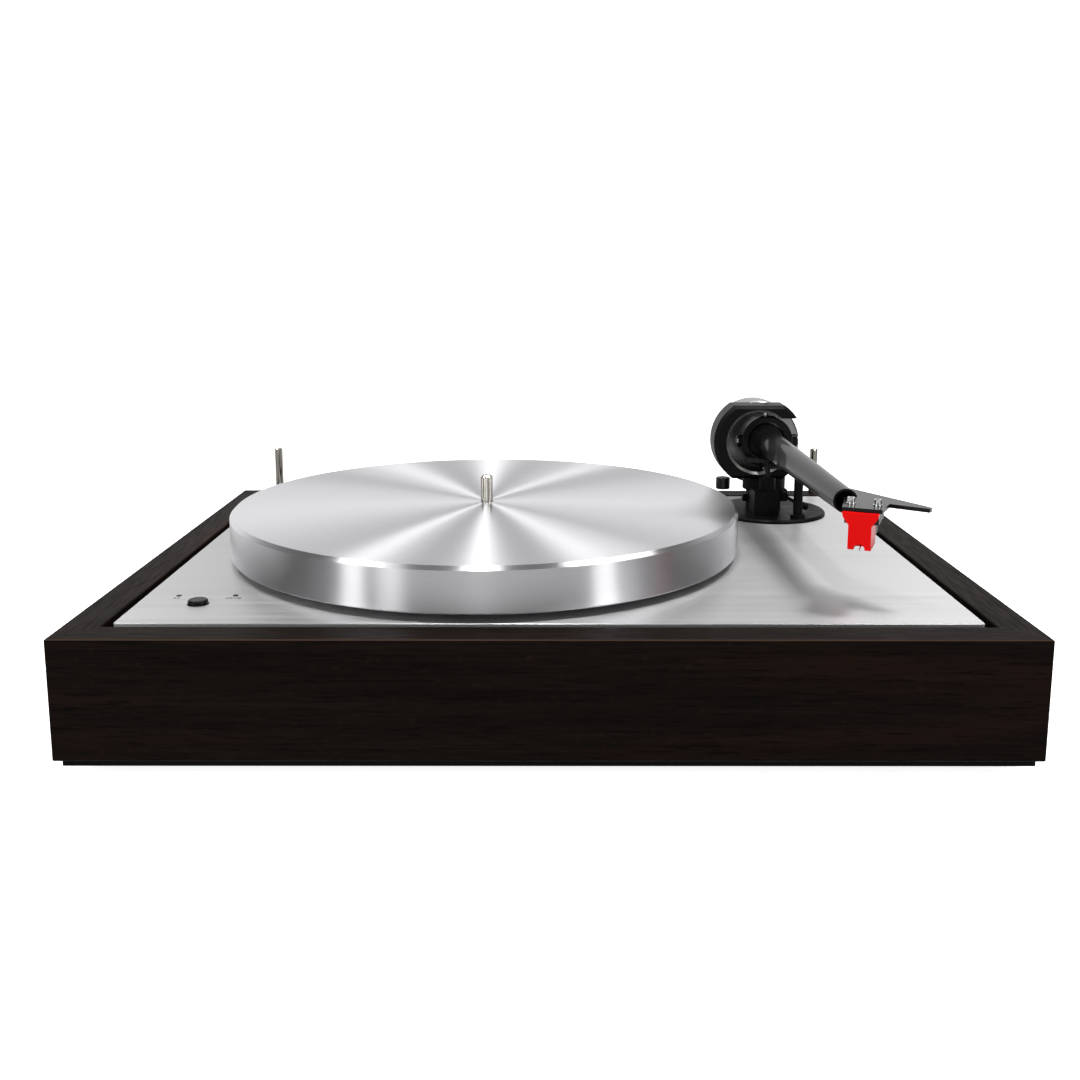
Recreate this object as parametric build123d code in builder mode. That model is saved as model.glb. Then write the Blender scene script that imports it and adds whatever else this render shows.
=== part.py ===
from build123d import *
import math
import os

# Belt-driven record player with a nine-inch tonearm, in millimetres.
# +X is to the right, +Y is to the back and +Z is up. The origin is on the table,
# under the middle of the whole footprint, rear sockets included.

os.makedirs("parts", exist_ok=True)

# ---------------------------------------------------------------- driving sizes
PLINTH_W = 462.0
PLINTH_D = 345.0
SOCKET_REACH = 6.0
FOOT_H = 8.0
BOARD_LIP_T = 3.6
RAIL_H = 59.2
RAIL_W = 18.5
PLATE_GAP = 4.2
PLATE_T = 2.0
PLATE_PROUD = 0.2
PLATE_CORNER_R = 1.5
PLATE_ARRIS = 0.3
CHASSIS_T = 18.0
RUNNING = 0.05

FRONT_Y = -(PLINTH_D + SOCKET_REACH) / 2
BACK_Y = FRONT_Y + PLINTH_D
RAIL_Z0 = FOOT_H + BOARD_LIP_T
RAIL_Z1 = RAIL_Z0 + RAIL_H
PLATE_Z1 = RAIL_Z1 + PLATE_PROUD
PLATE_Z0 = PLATE_Z1 - PLATE_T
CHASSIS_Z0 = PLATE_Z0 - CHASSIS_T
INNER_X = PLINTH_W / 2 - RAIL_W
INNER_Y0 = FRONT_Y + RAIL_W
INNER_Y1 = BACK_Y - RAIL_W
MID_Y = (FRONT_Y + BACK_Y) / 2

# platter and its bearing
SPINDLE = (-37.4, -3.3)
PLATTER_R = 150.0
PLATTER_Z0 = 75.2
PLATTER_Z1 = 99.0
PLATTER_TOP_T = 8.0
PLATTER_RIM_W = 14.0
PLATTER_CHAMFER = 2.0
SPINDLE_R = 3.55
SPINDLE_SHOULDER_R = 4.0
SPINDLE_TIP_CHAMFER = 1.1
SPINDLE_TOP = 115.1
SHAFT_R = 5.0
SUB_PLATTER_R = 60.0
SUB_PLATTER_Z0 = 79.0
BUSH_R = 7.0
HOUSING_R = 12.9
HOUSING_Z0 = 44.0
HOUSING_Z1 = 76.0
BALL_R = 2.5

# motor and belt
MOTOR_DISTANCE = 115.0
MOTOR_ANGLE = 150.0
MOTOR = (
    SPINDLE[0] + MOTOR_DISTANCE * math.cos(math.radians(MOTOR_ANGLE)),
    SPINDLE[1] + MOTOR_DISTANCE * math.sin(math.radians(MOTOR_ANGLE)),
)
MOTOR_R = 26.0
MOTOR_Z0 = 24.0
MOTOR_Z1 = 46.0
MOTOR_PLATE_T = 2.0
PULLEY_R = 8.0
PULLEY_Z0 = 78.0
PULLEY_Z1 = 90.0
BELT_T = 0.8
BELT_H = 5.0
BELT_GAP = 0.3
BELT_Z0 = 81.5

# speed control at the front left
BUTTON = (-177.1, -121.3)
BUTTON_R = 5.0
BUTTON_HOLE_R = 5.4
LAMPS = [(-191.1, -107.5), (-162.0, -107.2)]
LAMP_R = 1.5
CONTROL_Z = 58.0
CONTROL_T = 1.6

# rear sockets
PANEL = (140.0, 41.0)
PANEL_W = 100.0
PANEL_H = 30.0
PANEL_T = 2.0
PHONO_X = [112.0, 130.0]
GROUND_X = 148.0
POWER_X = 170.0
SOCKET_HOLE_R = 7.5

# rods for the dust cover
LID_ROD_X = [-201.8, 199.0]
LID_ROD_Y = 160.5
LID_ROD_R = 2.9
LID_ROD_TOP = 104.5
LID_SPIGOT_R = 2.4
LID_SPIGOT_H = 22.0
LID_BORE_R = 1.5
LID_BORE_DEPTH = 8.0

# tonearm
PIVOT = (149.5, 96.7, 120.9)
ARM_HEADING = 0.57
ARM_TUBE_END = 202.0
ARM_TUBE_START = 9.0
TUBE_R0 = 9.2
TUBE_R1 = 6.35
TUBE_WALL = 1.3
BASE_CENTRE = (152.9, 93.2)
BASE_R = 38.0
BASE_T = 2.5
STEM_R = 8.0
COLUMN_R = 12.0
COLLAR_R = 14.5
COLLAR_Z0 = 87.5
YOKE_X = 143.5
YOKE_R = 30.5
YOKE_FLAT = 25.2
YOKE_T = 21.4
YOKE_OPEN_R = 20.5
YOKE_SLOT_TOP = 16.5
YOKE_SLOT_BOTTOM = 18.5
GIMBAL_R = 17.5
GIMBAL_IN_R = 13.3
GIMBAL_T = 15.0
PIVOT_PIN_R = 1.5
BLOCK_R = 12.4
BLOCK_T = 12.0
NECK_R = 10.6
STUB_R = 6.0
STUB_END = 54.0
WEIGHT_R = 29.6
WEIGHT_T = 26.0
WEIGHT_DROP = 5.6
WEIGHT_FRONT = 25.0
WEIGHT_CHAMFER = 1.2
SLEEVE_R = STUB_R + 3

# headshell and cartridge
OFFSET_ANGLE = 23.4
CARTRIDGE = (155.6, -124.6)
SHELL_Z0 = 121.2
SHELL_T = 2.0
SCREW_PITCH = 12.7
STYLUS_AHEAD = 9.5
STYLUS_DROP = 19.6

# cueing, rest and anti-skate
LIFT = (148.0, 76.7)
LIFT_ARC_R = 20.0
LIFT_ARC_W = 3.4
LIFT_ARC_Z0 = 108.6
LIFT_ARC_T = 2.6
LIFT_BLOCK_Z1 = 90.0
CUE_PIN = (158.7, 86.0)
CUE_PIN_R = 1.5
REST = (166.5, 64.5)
THREAD = (123.8, 112.8)
THREAD_Z = 107.0
THREAD_R = 0.12
SKATE_WEIGHT_R = 4.95
SKATE_WEIGHT_Z = (83.8, 91.9)


# ---------------------------------------------------------------- shared helpers
def save(piece, name):
    """Label a finished piece and write it under the name of its node."""
    piece.label = name
    export_step(piece, f"parts/{name}.step")


def rod(plane, radius, length, mode=Mode.ADD):
    """A round rod that starts on the plane and runs along its normal."""
    with BuildSketch(plane) as profile:
        Circle(radius)
    extrude(profile.sketch, amount=length, mode=mode)


def block(plane, width, depth, height, mode=Mode.ADD):
    """A box that stands on the plane, centred on its origin."""
    with BuildSketch(plane) as profile:
        Rectangle(width, depth)
    extrude(profile.sketch, amount=height, mode=mode)


def upright(x, y, z):
    """A horizontal plane at a point."""
    return Plane(origin=(x, y, z), x_dir=(1, 0, 0), z_dir=(0, 0, 1))


def facing_back(x, y, z):
    """A vertical plane at a point, whose normal runs to the back."""
    return Plane(origin=(x, y, z), x_dir=(-1, 0, 0), z_dir=(0, 1, 0))


def facing_front(x, y, z):
    """A vertical plane at a point, whose normal runs to the front."""
    return Plane(origin=(x, y, z), x_dir=(1, 0, 0), z_dir=(0, -1, 0))


def facing_right(x, y, z):
    """A vertical plane at a point, whose normal runs to the right."""
    return Plane(origin=(x, y, z), x_dir=(0, 1, 0), z_dir=(1, 0, 0))


heading = math.radians(ARM_HEADING)
ARM_AHEAD = Vector(math.sin(heading), -math.cos(heading), 0)
ARM_RIGHT = Vector(math.cos(heading), math.sin(heading), 0)


def arm_section(ahead, right=0.0, up=0.0):
    """A plane across the arm's axis, measured from the pivot, normal to the headshell."""
    centre = Vector(*PIVOT) + ARM_AHEAD * ahead + ARM_RIGHT * right + Vector(0, 0, up)
    return Plane(origin=centre, x_dir=ARM_RIGHT, z_dir=ARM_AHEAD)


def tube_radius(ahead):
    """The arm tube's outer radius, which falls evenly towards the headshell."""
    share = (ahead - ARM_TUBE_START) / (ARM_TUBE_END - ARM_TUBE_START)
    return TUBE_R0 + share * (TUBE_R1 - TUBE_R0)


offset = math.radians(OFFSET_ANGLE)
SHELL_RIGHT = Vector(math.cos(offset), -math.sin(offset), 0)
SHELL_BACK = Vector(math.sin(offset), math.cos(offset), 0)


def shell_plane(right=0.0, back=0.0, up=0.0):
    """A level plane on the headshell, measured from between the cartridge screws."""
    middle = Vector(CARTRIDGE[0], CARTRIDGE[1], SHELL_Z0 + up)
    return Plane(
        origin=middle + SHELL_RIGHT * right + SHELL_BACK * back,
        x_dir=SHELL_RIGHT,
        z_dir=(0, 0, 1),
    )


# ---------------------------------------------------------------- wooden frame
BOARD_SCREWS = [
    (side * 221.0, y) for side in (-1, 1) for y in (-120.0, 0.0, 115.0)
] + [(x, y) for x in (-90.0, 90.0) for y in (FRONT_Y + 10.0, BACK_Y - 10.0)]
BOARD_SCREW_R = 2.0
BOARD_SCREW_DEPTH = 22.0
ARRIS = 0.5

outer_corners = [
    (-PLINTH_W / 2, FRONT_Y),
    (PLINTH_W / 2, FRONT_Y),
    (PLINTH_W / 2, BACK_Y),
    (-PLINTH_W / 2, BACK_Y),
]
inner_corners = [
    (-INNER_X, INNER_Y0),
    (INNER_X, INNER_Y0),
    (INNER_X, INNER_Y1),
    (-INNER_X, INNER_Y1),
]
rail_names = ["plinth_front", "plinth_right", "plinth_back", "plinth_left"]
rail_axes = [Axis.X, Axis.Y, Axis.X, Axis.Y]

# Four rails, mitred at the corners.
for side, (rail_name, rail_axis) in enumerate(zip(rail_names, rail_axes)):
    following = (side + 1) % 4
    with BuildPart() as rail:
        with BuildSketch(Plane.XY.offset(RAIL_Z0)):
            with BuildLine():
                Polyline(
                    outer_corners[side],
                    outer_corners[following],
                    inner_corners[following],
                    inner_corners[side],
                    close=True,
                )
            make_face()
        extrude(amount=RAIL_H)
        chamfer(rail.edges().filter_by(rail_axis), ARRIS)
        for x, y in BOARD_SCREWS:
            rod(upright(x, y, RAIL_Z0), BOARD_SCREW_R, BOARD_SCREW_DEPTH - BOARD_LIP_T, Mode.SUBTRACT)
        if rail_name == "plinth_back":
            # a hole for each socket, a shallow seat for their panel, and the rods' holes
            for x in (*PHONO_X, GROUND_X, POWER_X):
                rod(facing_back(x, INNER_Y1, PANEL[1]), SOCKET_HOLE_R, RAIL_W, Mode.SUBTRACT)
            block(
                facing_back(PANEL[0], BACK_Y - PANEL_T, PANEL[1]),
                PANEL_W + 0.4,
                PANEL_H + 0.4,
                PANEL_T,
                Mode.SUBTRACT,
            )
            for x in LID_ROD_X:
                spigot_plane = upright(x, LID_ROD_Y, RAIL_Z1 - LID_SPIGOT_H)
                rod(spigot_plane, LID_SPIGOT_R, LID_SPIGOT_H, Mode.SUBTRACT)
    save(rail.part, rail_name)

# ---------------------------------------------------------------- base board and feet
BOARD_T = 11.6
BOARD_INSET = 3.2
BOARD_PLAY = 0.5
FEET = [(x, y) for x in (-182.0, 182.0) for y in (-128.0, 122.0)]
FOOT_R = 21.0
FOOT_PAD_T = 1.5
FOOT_PAD_INSET = 3.0
FOOT_CHAMFER = 1.2
FOOT_SCREW_R = 2.1
FOOT_SCREW_SKIN = 2.0
FOOT_HEAD_R = 4.5
FOOT_HEAD_H = 2.0
FOOT_RECESS_R = FOOT_HEAD_R + 0.5
FOOT_RECESS_H = 3.5

ISOLATORS = [(x, y) for x in (-176.0, 0.0, 176.0) for y in (-75.0, 110.0)]
ISOLATOR_H = 10.0
ISOLATOR_WAIST = 6.5
ISOLATOR_END = 4.0
POST_R = 9.0

with BuildPart() as bottom_board:
    block(
        upright(0, MID_Y, FOOT_H),
        PLINTH_W - 2 * BOARD_INSET,
        PLINTH_D - 2 * BOARD_INSET,
        BOARD_LIP_T,
    )
    block(
        upright(0, MID_Y, RAIL_Z0),
        2 * (INNER_X - BOARD_PLAY),
        INNER_Y1 - INNER_Y0 - 2 * BOARD_PLAY,
        BOARD_T - BOARD_LIP_T,
    )
    for x, y in ISOLATORS:
        rod(upright(x, y, FOOT_H + BOARD_T), POST_R, CHASSIS_Z0 - ISOLATOR_H - FOOT_H - BOARD_T)
    for x, y in BOARD_SCREWS:
        rod(upright(x, y, FOOT_H), BOARD_SCREW_R, BOARD_LIP_T, Mode.SUBTRACT)
    for x, y in FEET:
        rod(upright(x, y, FOOT_H), FOOT_SCREW_R, BOARD_T - FOOT_SCREW_SKIN, Mode.SUBTRACT)
save(bottom_board.part, "bottom_board")

with BuildPart() as feet:
    for x, y in FEET:
        rod(upright(x, y, FOOT_PAD_T), FOOT_R, FOOT_H - FOOT_PAD_T)
    chamfer(feet.edges().filter_by(GeomType.CIRCLE).group_by(Axis.Z)[0], FOOT_CHAMFER)
    for x, y in FEET:
        rod(upright(x, y, FOOT_PAD_T), FOOT_RECESS_R, FOOT_RECESS_H, Mode.SUBTRACT)
        rod(upright(x, y, FOOT_PAD_T), FOOT_SCREW_R, FOOT_H, Mode.SUBTRACT)
save(feet.part, "feet")

with BuildPart() as foot_pads:
    for x, y in FEET:
        rod(upright(x, y, 0), FOOT_R - FOOT_PAD_INSET, FOOT_PAD_T)
        rod(upright(x, y, 0), FOOT_RECESS_R, FOOT_PAD_T, Mode.SUBTRACT)
save(foot_pads.part, "foot_pads")

# Screws of the base board, of the feet and of the socket panel.
PANEL_SCREW_R = 1.4
PANEL_SCREW_INSET = 3.0
PANEL_SCREWS = [PANEL[0] + side * (PANEL_W / 2 - PANEL_SCREW_INSET) for side in (-1, 1)]
PANEL_HEAD_R = 2.6
PANEL_HEAD_H = 1.4
BOARD_HEAD_R = 3.6
BOARD_HEAD_H = 1.2

with BuildPart() as case_screws:
    for x, y in BOARD_SCREWS:
        rod(upright(x, y, FOOT_H), BOARD_SCREW_R, BOARD_SCREW_DEPTH)
        rod(upright(x, y, FOOT_H - BOARD_HEAD_H), BOARD_HEAD_R, BOARD_HEAD_H)
    for x, y in FEET:
        recess_z = FOOT_PAD_T + FOOT_RECESS_H
        rod(upright(x, y, recess_z - FOOT_HEAD_H), FOOT_HEAD_R, FOOT_HEAD_H)
        rod(upright(x, y, recess_z), FOOT_SCREW_R, FOOT_H - recess_z + BOARD_T - FOOT_SCREW_SKIN)
    for x in PANEL_SCREWS:
        rod(facing_back(x, BACK_Y - PANEL_T, PANEL[1]), PANEL_SCREW_R, PANEL_T)
        rod(facing_back(x, BACK_Y, PANEL[1]), PANEL_HEAD_R, PANEL_HEAD_H)
    fillet(case_screws.edges().group_by(Axis.Y)[-1], PANEL_HEAD_H / 2 - 0.1)
save(case_screws.part, "case_screws")

# ---------------------------------------------------------------- isolated sub-chassis
with BuildPart() as isolator_balls:
    for x, y in ISOLATORS:
        ball_axis = Plane(
            origin=(x, y, CHASSIS_Z0 - ISOLATOR_H / 2), x_dir=(1, 0, 0), z_dir=(0, -1, 0)
        )
        with BuildSketch(ball_axis) as half:
            with BuildLine():
                low_end = (ISOLATOR_END, -ISOLATOR_H / 2)
                high_end = (ISOLATOR_END, ISOLATOR_H / 2)
                Line((0, -ISOLATOR_H / 2), low_end)
                ThreePointArc(low_end, (ISOLATOR_WAIST, 0), high_end)
                Line(high_end, (0, ISOLATOR_H / 2))
                Line((0, ISOLATOR_H / 2), (0, -ISOLATOR_H / 2))
            make_face()
        revolve(half.sketch, axis=Axis((x, y, 0), (0, 0, 1)))
save(isolator_balls.part, "isolator_balls")

STEM_HOLE_R = STEM_R + 0.2
MOTOR_HOLE_R = 12.0
CHASSIS_INSET = 3.0
CONTROL_POCKET = (44.0, 36.0)
CONTROL_CENTRE = (BUTTON[0], BUTTON[1] + 8.0)
PILOT_DEPTH = 9.0


def ring_of_spots(centre, radius, angles):
    """Points on a circle, at the angles given in degrees."""
    turns = [math.radians(angle) for angle in angles]
    return [(centre[0] + radius * math.cos(t), centre[1] + radius * math.sin(t)) for t in turns]


ARM_SCREWS = ring_of_spots(BASE_CENTRE, 32.0, (-60.0, 60.0, 180.0))
ARM_SCREW_R = 1.5
MOTOR_FIXINGS = ring_of_spots(MOTOR, 33.0, (90.0, 210.0, 330.0))
MOTOR_FIXING_R = 1.5

with BuildPart() as sub_chassis:
    block(
        upright(0, (INNER_Y0 + INNER_Y1) / 2, CHASSIS_Z0),
        2 * (INNER_X - PLATE_GAP - CHASSIS_INSET),
        INNER_Y1 - INNER_Y0 - 2 * (PLATE_GAP + CHASSIS_INSET),
        CHASSIS_T,
    )
    rod(upright(*SPINDLE, CHASSIS_Z0), HOUSING_R, CHASSIS_T, Mode.SUBTRACT)
    rod(upright(*MOTOR, CHASSIS_Z0), MOTOR_HOLE_R, CHASSIS_T, Mode.SUBTRACT)
    rod(upright(PIVOT[0], PIVOT[1], CHASSIS_Z0), STEM_HOLE_R, CHASSIS_T, Mode.SUBTRACT)
    block(upright(*CONTROL_CENTRE, CHASSIS_Z0), *CONTROL_POCKET, CHASSIS_T, Mode.SUBTRACT)
    for x, y in ARM_SCREWS:
        rod(upright(x, y, PLATE_Z0 - PILOT_DEPTH), ARM_SCREW_R, PILOT_DEPTH, Mode.SUBTRACT)
    for x, y in MOTOR_FIXINGS:
        rod(upright(x, y, CHASSIS_Z0), MOTOR_FIXING_R, PILOT_DEPTH, Mode.SUBTRACT)
save(sub_chassis.part, "sub_chassis")

with BuildPart() as top_plate:
    block(
        upright(0, (INNER_Y0 + INNER_Y1) / 2, PLATE_Z0),
        2 * (INNER_X - PLATE_GAP),
        INNER_Y1 - INNER_Y0 - 2 * PLATE_GAP,
        PLATE_T,
    )
    fillet(top_plate.edges().filter_by(Axis.Z), PLATE_CORNER_R)
    chamfer(top_plate.faces().sort_by(Axis.Z)[-1].edges(), PLATE_ARRIS)
    rod(upright(*SPINDLE, PLATE_Z0), HOUSING_R, PLATE_T, Mode.SUBTRACT)
    rod(upright(*MOTOR, PLATE_Z0), MOTOR_HOLE_R, PLATE_T, Mode.SUBTRACT)
    rod(upright(PIVOT[0], PIVOT[1], PLATE_Z0), STEM_HOLE_R, PLATE_T, Mode.SUBTRACT)
    rod(upright(*BUTTON, PLATE_Z0), BUTTON_HOLE_R, PLATE_T, Mode.SUBTRACT)
    for x, y in LAMPS:
        rod(upright(x, y, PLATE_Z0), LAMP_R, PLATE_T, Mode.SUBTRACT)
    for x, y in ARM_SCREWS:
        rod(upright(x, y, PLATE_Z0), ARM_SCREW_R, PLATE_T, Mode.SUBTRACT)
save(top_plate.part, "top_plate")

# ---------------------------------------------------------------- main bearing
BUSH_Z0 = 52.0
FLANGE_R = 24.0
FLANGE_T = 3.0
HOUSING_FLOOR = 2.0
BALL_PLAY = 0.05

with BuildPart() as bearing_housing:
    rod(upright(*SPINDLE, HOUSING_Z0), HOUSING_R, HOUSING_Z1 - HOUSING_Z0)
    rod(upright(*SPINDLE, PLATE_Z1), FLANGE_R, FLANGE_T)
    rod(upright(*SPINDLE, HOUSING_Z0 + HOUSING_FLOOR), BUSH_R, HOUSING_Z1, Mode.SUBTRACT)
save(bearing_housing.part, "bearing_housing")

with BuildPart() as bearing_bush:
    rod(upright(*SPINDLE, BUSH_Z0), BUSH_R, HOUSING_Z1 - BUSH_Z0)
    rod(upright(*SPINDLE, BUSH_Z0), SHAFT_R + RUNNING, HOUSING_Z1, Mode.SUBTRACT)
save(bearing_bush.part, "bearing_bush")

with BuildPart() as thrust_ball:
    with Locations((*SPINDLE, HOUSING_Z0 + HOUSING_FLOOR + BALL_R)):
        Sphere(BALL_R)
save(thrust_ball.part, "thrust_ball")

# ---------------------------------------------------------------- platter
SUB_PLATTER_Z1 = PLATTER_Z1 - PLATTER_TOP_T
SHAFT_Z0 = HOUSING_Z0 + HOUSING_FLOOR + 2 * BALL_R + BALL_PLAY
HUB_BOSS_R = 15.0
HUB_BOSS_H = 2.0
POCKET_R = 11.0
POCKET_CIRCLE_R = 38.0
POCKET_COUNT = 6
RING_H = 4.0
RING_W = 7.0
PLATTER_LOW_CHAMFER = 0.8

with BuildPart() as spindle:
    rod(upright(*SPINDLE, SHAFT_Z0), SHAFT_R, SUB_PLATTER_Z1 - SHAFT_Z0)
    rod(upright(*SPINDLE, SUB_PLATTER_Z1), SPINDLE_SHOULDER_R, PLATTER_TOP_T)
    rod(upright(*SPINDLE, PLATTER_Z1), SPINDLE_R, SPINDLE_TOP - PLATTER_Z1)
    chamfer(spindle.faces().sort_by(Axis.Z)[-1].edges(), SPINDLE_TIP_CHAMFER)
save(spindle.part, "spindle")

with BuildPart() as sub_platter:
    rod(upright(*SPINDLE, SUB_PLATTER_Z0), SUB_PLATTER_R, SUB_PLATTER_Z1 - SUB_PLATTER_Z0)
    rod(upright(*SPINDLE, SUB_PLATTER_Z0 - HUB_BOSS_H), HUB_BOSS_R, HUB_BOSS_H)
    rod(upright(*SPINDLE, SUB_PLATTER_Z0 - HUB_BOSS_H), SHAFT_R, PLATTER_Z1, Mode.SUBTRACT)
    with BuildSketch(upright(*SPINDLE, SUB_PLATTER_Z0)) as pockets:
        with PolarLocations(POCKET_CIRCLE_R, POCKET_COUNT):
            Circle(POCKET_R)
    extrude(pockets.sketch, amount=SUB_PLATTER_Z1 - SUB_PLATTER_Z0, mode=Mode.SUBTRACT)
save(sub_platter.part, "sub_platter")

with BuildPart() as platter:
    rod(upright(*SPINDLE, PLATTER_Z0), PLATTER_R, PLATTER_Z1 - PLATTER_Z0)
    chamfer(platter.edges().sort_by(Axis.Z)[-1], PLATTER_CHAMFER)
    chamfer(platter.edges().sort_by(Axis.Z)[0], PLATTER_LOW_CHAMFER)
    rod(
        upright(*SPINDLE, PLATTER_Z0),
        PLATTER_R - PLATTER_RIM_W,
        SUB_PLATTER_Z1 - PLATTER_Z0,
        Mode.SUBTRACT,
    )
    rod(upright(*SPINDLE, SUB_PLATTER_Z1), SPINDLE_SHOULDER_R, PLATTER_TOP_T, Mode.SUBTRACT)
save(platter.part, "platter")

with BuildPart() as platter_damping_ring:
    ring_plane = upright(*SPINDLE, SUB_PLATTER_Z1 - RING_H)
    rod(ring_plane, PLATTER_R - PLATTER_RIM_W, RING_H)
    rod(ring_plane, PLATTER_R - PLATTER_RIM_W - RING_W, RING_H, Mode.SUBTRACT)
save(platter_damping_ring.part, "platter_damping_ring")

# ---------------------------------------------------------------- motor and belt
MOTOR_SHAFT_R = 1.2
MOTOR_SHAFT_Z0 = MOTOR_Z0 + 4.2
MOTOR_BORE_Z0 = MOTOR_Z0 + 4.0
MOTOR_PLATE_R = 40.0
MOTOR_CORNER_R = 2.0
MOTOR_SPIGOT_R = 6.0
MOTOR_SPIGOT_H = MOTOR_PLATE_T + 2
MOTOR_HEAD_R = 3.0
MOTOR_HEAD_H = 2.0
GROMMET_R = 5.0
PULLEY_FLANGE = 1.6
PULLEY_FLANGE_T = 1.2

with BuildPart() as motor_plate:
    rod(upright(*MOTOR, MOTOR_Z1), MOTOR_PLATE_R, MOTOR_PLATE_T)
    rod(upright(*MOTOR, MOTOR_Z1), MOTOR_SPIGOT_R, MOTOR_PLATE_T, Mode.SUBTRACT)
    for x, y in MOTOR_FIXINGS:
        rod(upright(x, y, MOTOR_Z1), MOTOR_FIXING_R, MOTOR_PLATE_T, Mode.SUBTRACT)
save(motor_plate.part, "motor_plate")

with BuildPart() as motor_grommets:
    for x, y in MOTOR_FIXINGS:
        grommet_plane = upright(x, y, MOTOR_Z1 + MOTOR_PLATE_T)
        rod(grommet_plane, GROMMET_R, CHASSIS_Z0 - MOTOR_Z1 - MOTOR_PLATE_T)
        rod(grommet_plane, MOTOR_FIXING_R, CHASSIS_Z0, Mode.SUBTRACT)
save(motor_grommets.part, "motor_grommets")

with BuildPart() as motor_screws:
    for x, y in MOTOR_FIXINGS:
        rod(upright(x, y, MOTOR_Z1 - MOTOR_HEAD_H), MOTOR_HEAD_R, MOTOR_HEAD_H)
        rod(upright(x, y, MOTOR_Z1), MOTOR_FIXING_R, CHASSIS_Z0 - MOTOR_Z1 + PILOT_DEPTH)
save(motor_screws.part, "motor_screws")

with BuildPart() as motor_body:
    rod(upright(*MOTOR, MOTOR_Z0), MOTOR_R, MOTOR_Z1 - MOTOR_Z0)
    fillet(motor_body.edges().group_by(Axis.Z)[0], MOTOR_CORNER_R)
    rod(upright(*MOTOR, MOTOR_Z1), MOTOR_SPIGOT_R, MOTOR_SPIGOT_H)
    rod(upright(*MOTOR, MOTOR_BORE_Z0), MOTOR_SHAFT_R + RUNNING, MOTOR_Z1, Mode.SUBTRACT)
save(motor_body.part, "motor_body")

with BuildPart() as motor_shaft:
    rod(upright(*MOTOR, MOTOR_SHAFT_Z0), MOTOR_SHAFT_R, PULLEY_Z1 - MOTOR_SHAFT_Z0)
save(motor_shaft.part, "motor_shaft")

with BuildPart() as pulley:
    rod(upright(*MOTOR, PULLEY_Z0), PULLEY_R, PULLEY_Z1 - PULLEY_Z0)
    for z in (PULLEY_Z0, PULLEY_Z1 - PULLEY_FLANGE_T):
        rod(upright(*MOTOR, z), PULLEY_R + PULLEY_FLANGE, PULLEY_FLANGE_T)
    rod(upright(*MOTOR, PULLEY_Z0), MOTOR_SHAFT_R, PULLEY_Z1 - PULLEY_Z0, Mode.SUBTRACT)
save(pulley.part, "pulley")


def belt_outline(plane, gap):
    """The loop round the sub-platter and the pulley, a gap outside both."""
    with BuildSketch(plane) as loop:
        with Locations(SPINDLE):
            Circle(SUB_PLATTER_R + gap)
        with Locations(MOTOR):
            Circle(PULLEY_R + gap)
        make_hull()
    return loop.sketch


with BuildPart() as drive_belt:
    belt_plane = Plane.XY.offset(BELT_Z0)
    extrude(belt_outline(belt_plane, BELT_GAP + BELT_T), amount=BELT_H)
    extrude(belt_outline(belt_plane, BELT_GAP), amount=BELT_H, mode=Mode.SUBTRACT)
save(drive_belt.part, "drive_belt")

# ---------------------------------------------------------------- speed button and lamps
SWITCH_W = 6.0
SWITCH_H = 4.4
CONTROL_W = 42.0
CONTROL_D = 34.0
STANDOFF_R = 2.0
STANDOFF_INSET = 2.5
STANDOFFS = [
    (
        CONTROL_CENTRE[0] + sx * (CONTROL_W / 2 - STANDOFF_INSET),
        CONTROL_CENTRE[1] + sy * (CONTROL_D / 2 - STANDOFF_INSET),
    )
    for sx in (-1, 1)
    for sy in (-1, 1)
]
BUTTON_Z0 = PLATE_Z0 - 1.6
BUTTON_PROUD = 2.4
BUTTON_FLANGE = 1.6
BUTTON_FLANGE_T = 1.2
BUTTON_ROUND = 1.0
BUTTON_TAIL = 2.0
LAMP_PROUD = 0.4
LAMP_ROUND = 0.5

with BuildPart() as control_board:
    block(upright(*CONTROL_CENTRE, CONTROL_Z), CONTROL_W, CONTROL_D, CONTROL_T)
    for x, y in STANDOFFS:
        rod(upright(x, y, CONTROL_Z + CONTROL_T), STANDOFF_R, PLATE_Z0 - CONTROL_Z - CONTROL_T)
    block(upright(*BUTTON, CONTROL_Z + CONTROL_T), SWITCH_W, SWITCH_W, SWITCH_H)
save(control_board.part, "control_board")

with BuildPart() as speed_button:
    rod(upright(*BUTTON, BUTTON_Z0), BUTTON_R, PLATE_Z1 - BUTTON_Z0 + BUTTON_PROUD)
    fillet(speed_button.edges().sort_by(Axis.Z)[-1], BUTTON_ROUND)
    rod(upright(*BUTTON, BUTTON_Z0), BUTTON_R + BUTTON_FLANGE, BUTTON_FLANGE_T)
    rod(upright(*BUTTON, BUTTON_Z0 - BUTTON_TAIL), BUTTON_TAIL, BUTTON_TAIL)
save(speed_button.part, "speed_button")

with BuildPart() as lamps:
    for x, y in LAMPS:
        rod(upright(x, y, CONTROL_Z + CONTROL_T), LAMP_R, PLATE_Z1 - CONTROL_Z - CONTROL_T + LAMP_PROUD)
    fillet(lamps.edges().group_by(Axis.Z)[-1], LAMP_ROUND)
save(lamps.part, "lamps")

# ---------------------------------------------------------------- rear sockets
PHONO_R = 4.15
PHONO_WALL = 0.9
PHONO_PIN_R = 1.6
PHONO_DEPTH = 6.0
INSULATOR_DROP = 1.0
NUT_R = 6.0
THUMB_NUT_R = 4.2
THUMB_NUT_T = 4.0
THUMB_NUT_GAP = 0.8
THUMB_RIBS = 16
THUMB_RIB_R = 0.35
GROUND_R = 2.0
TAIL_Y = INNER_Y1 + 4
POWER_R = 5.5
POWER_BORE_R = 2.8
POWER_PIN_R = 0.95
POWER_PIN_L = 8.0
POWER_DEPTH = 9.0
POWER_PROUD = 0.6

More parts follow.
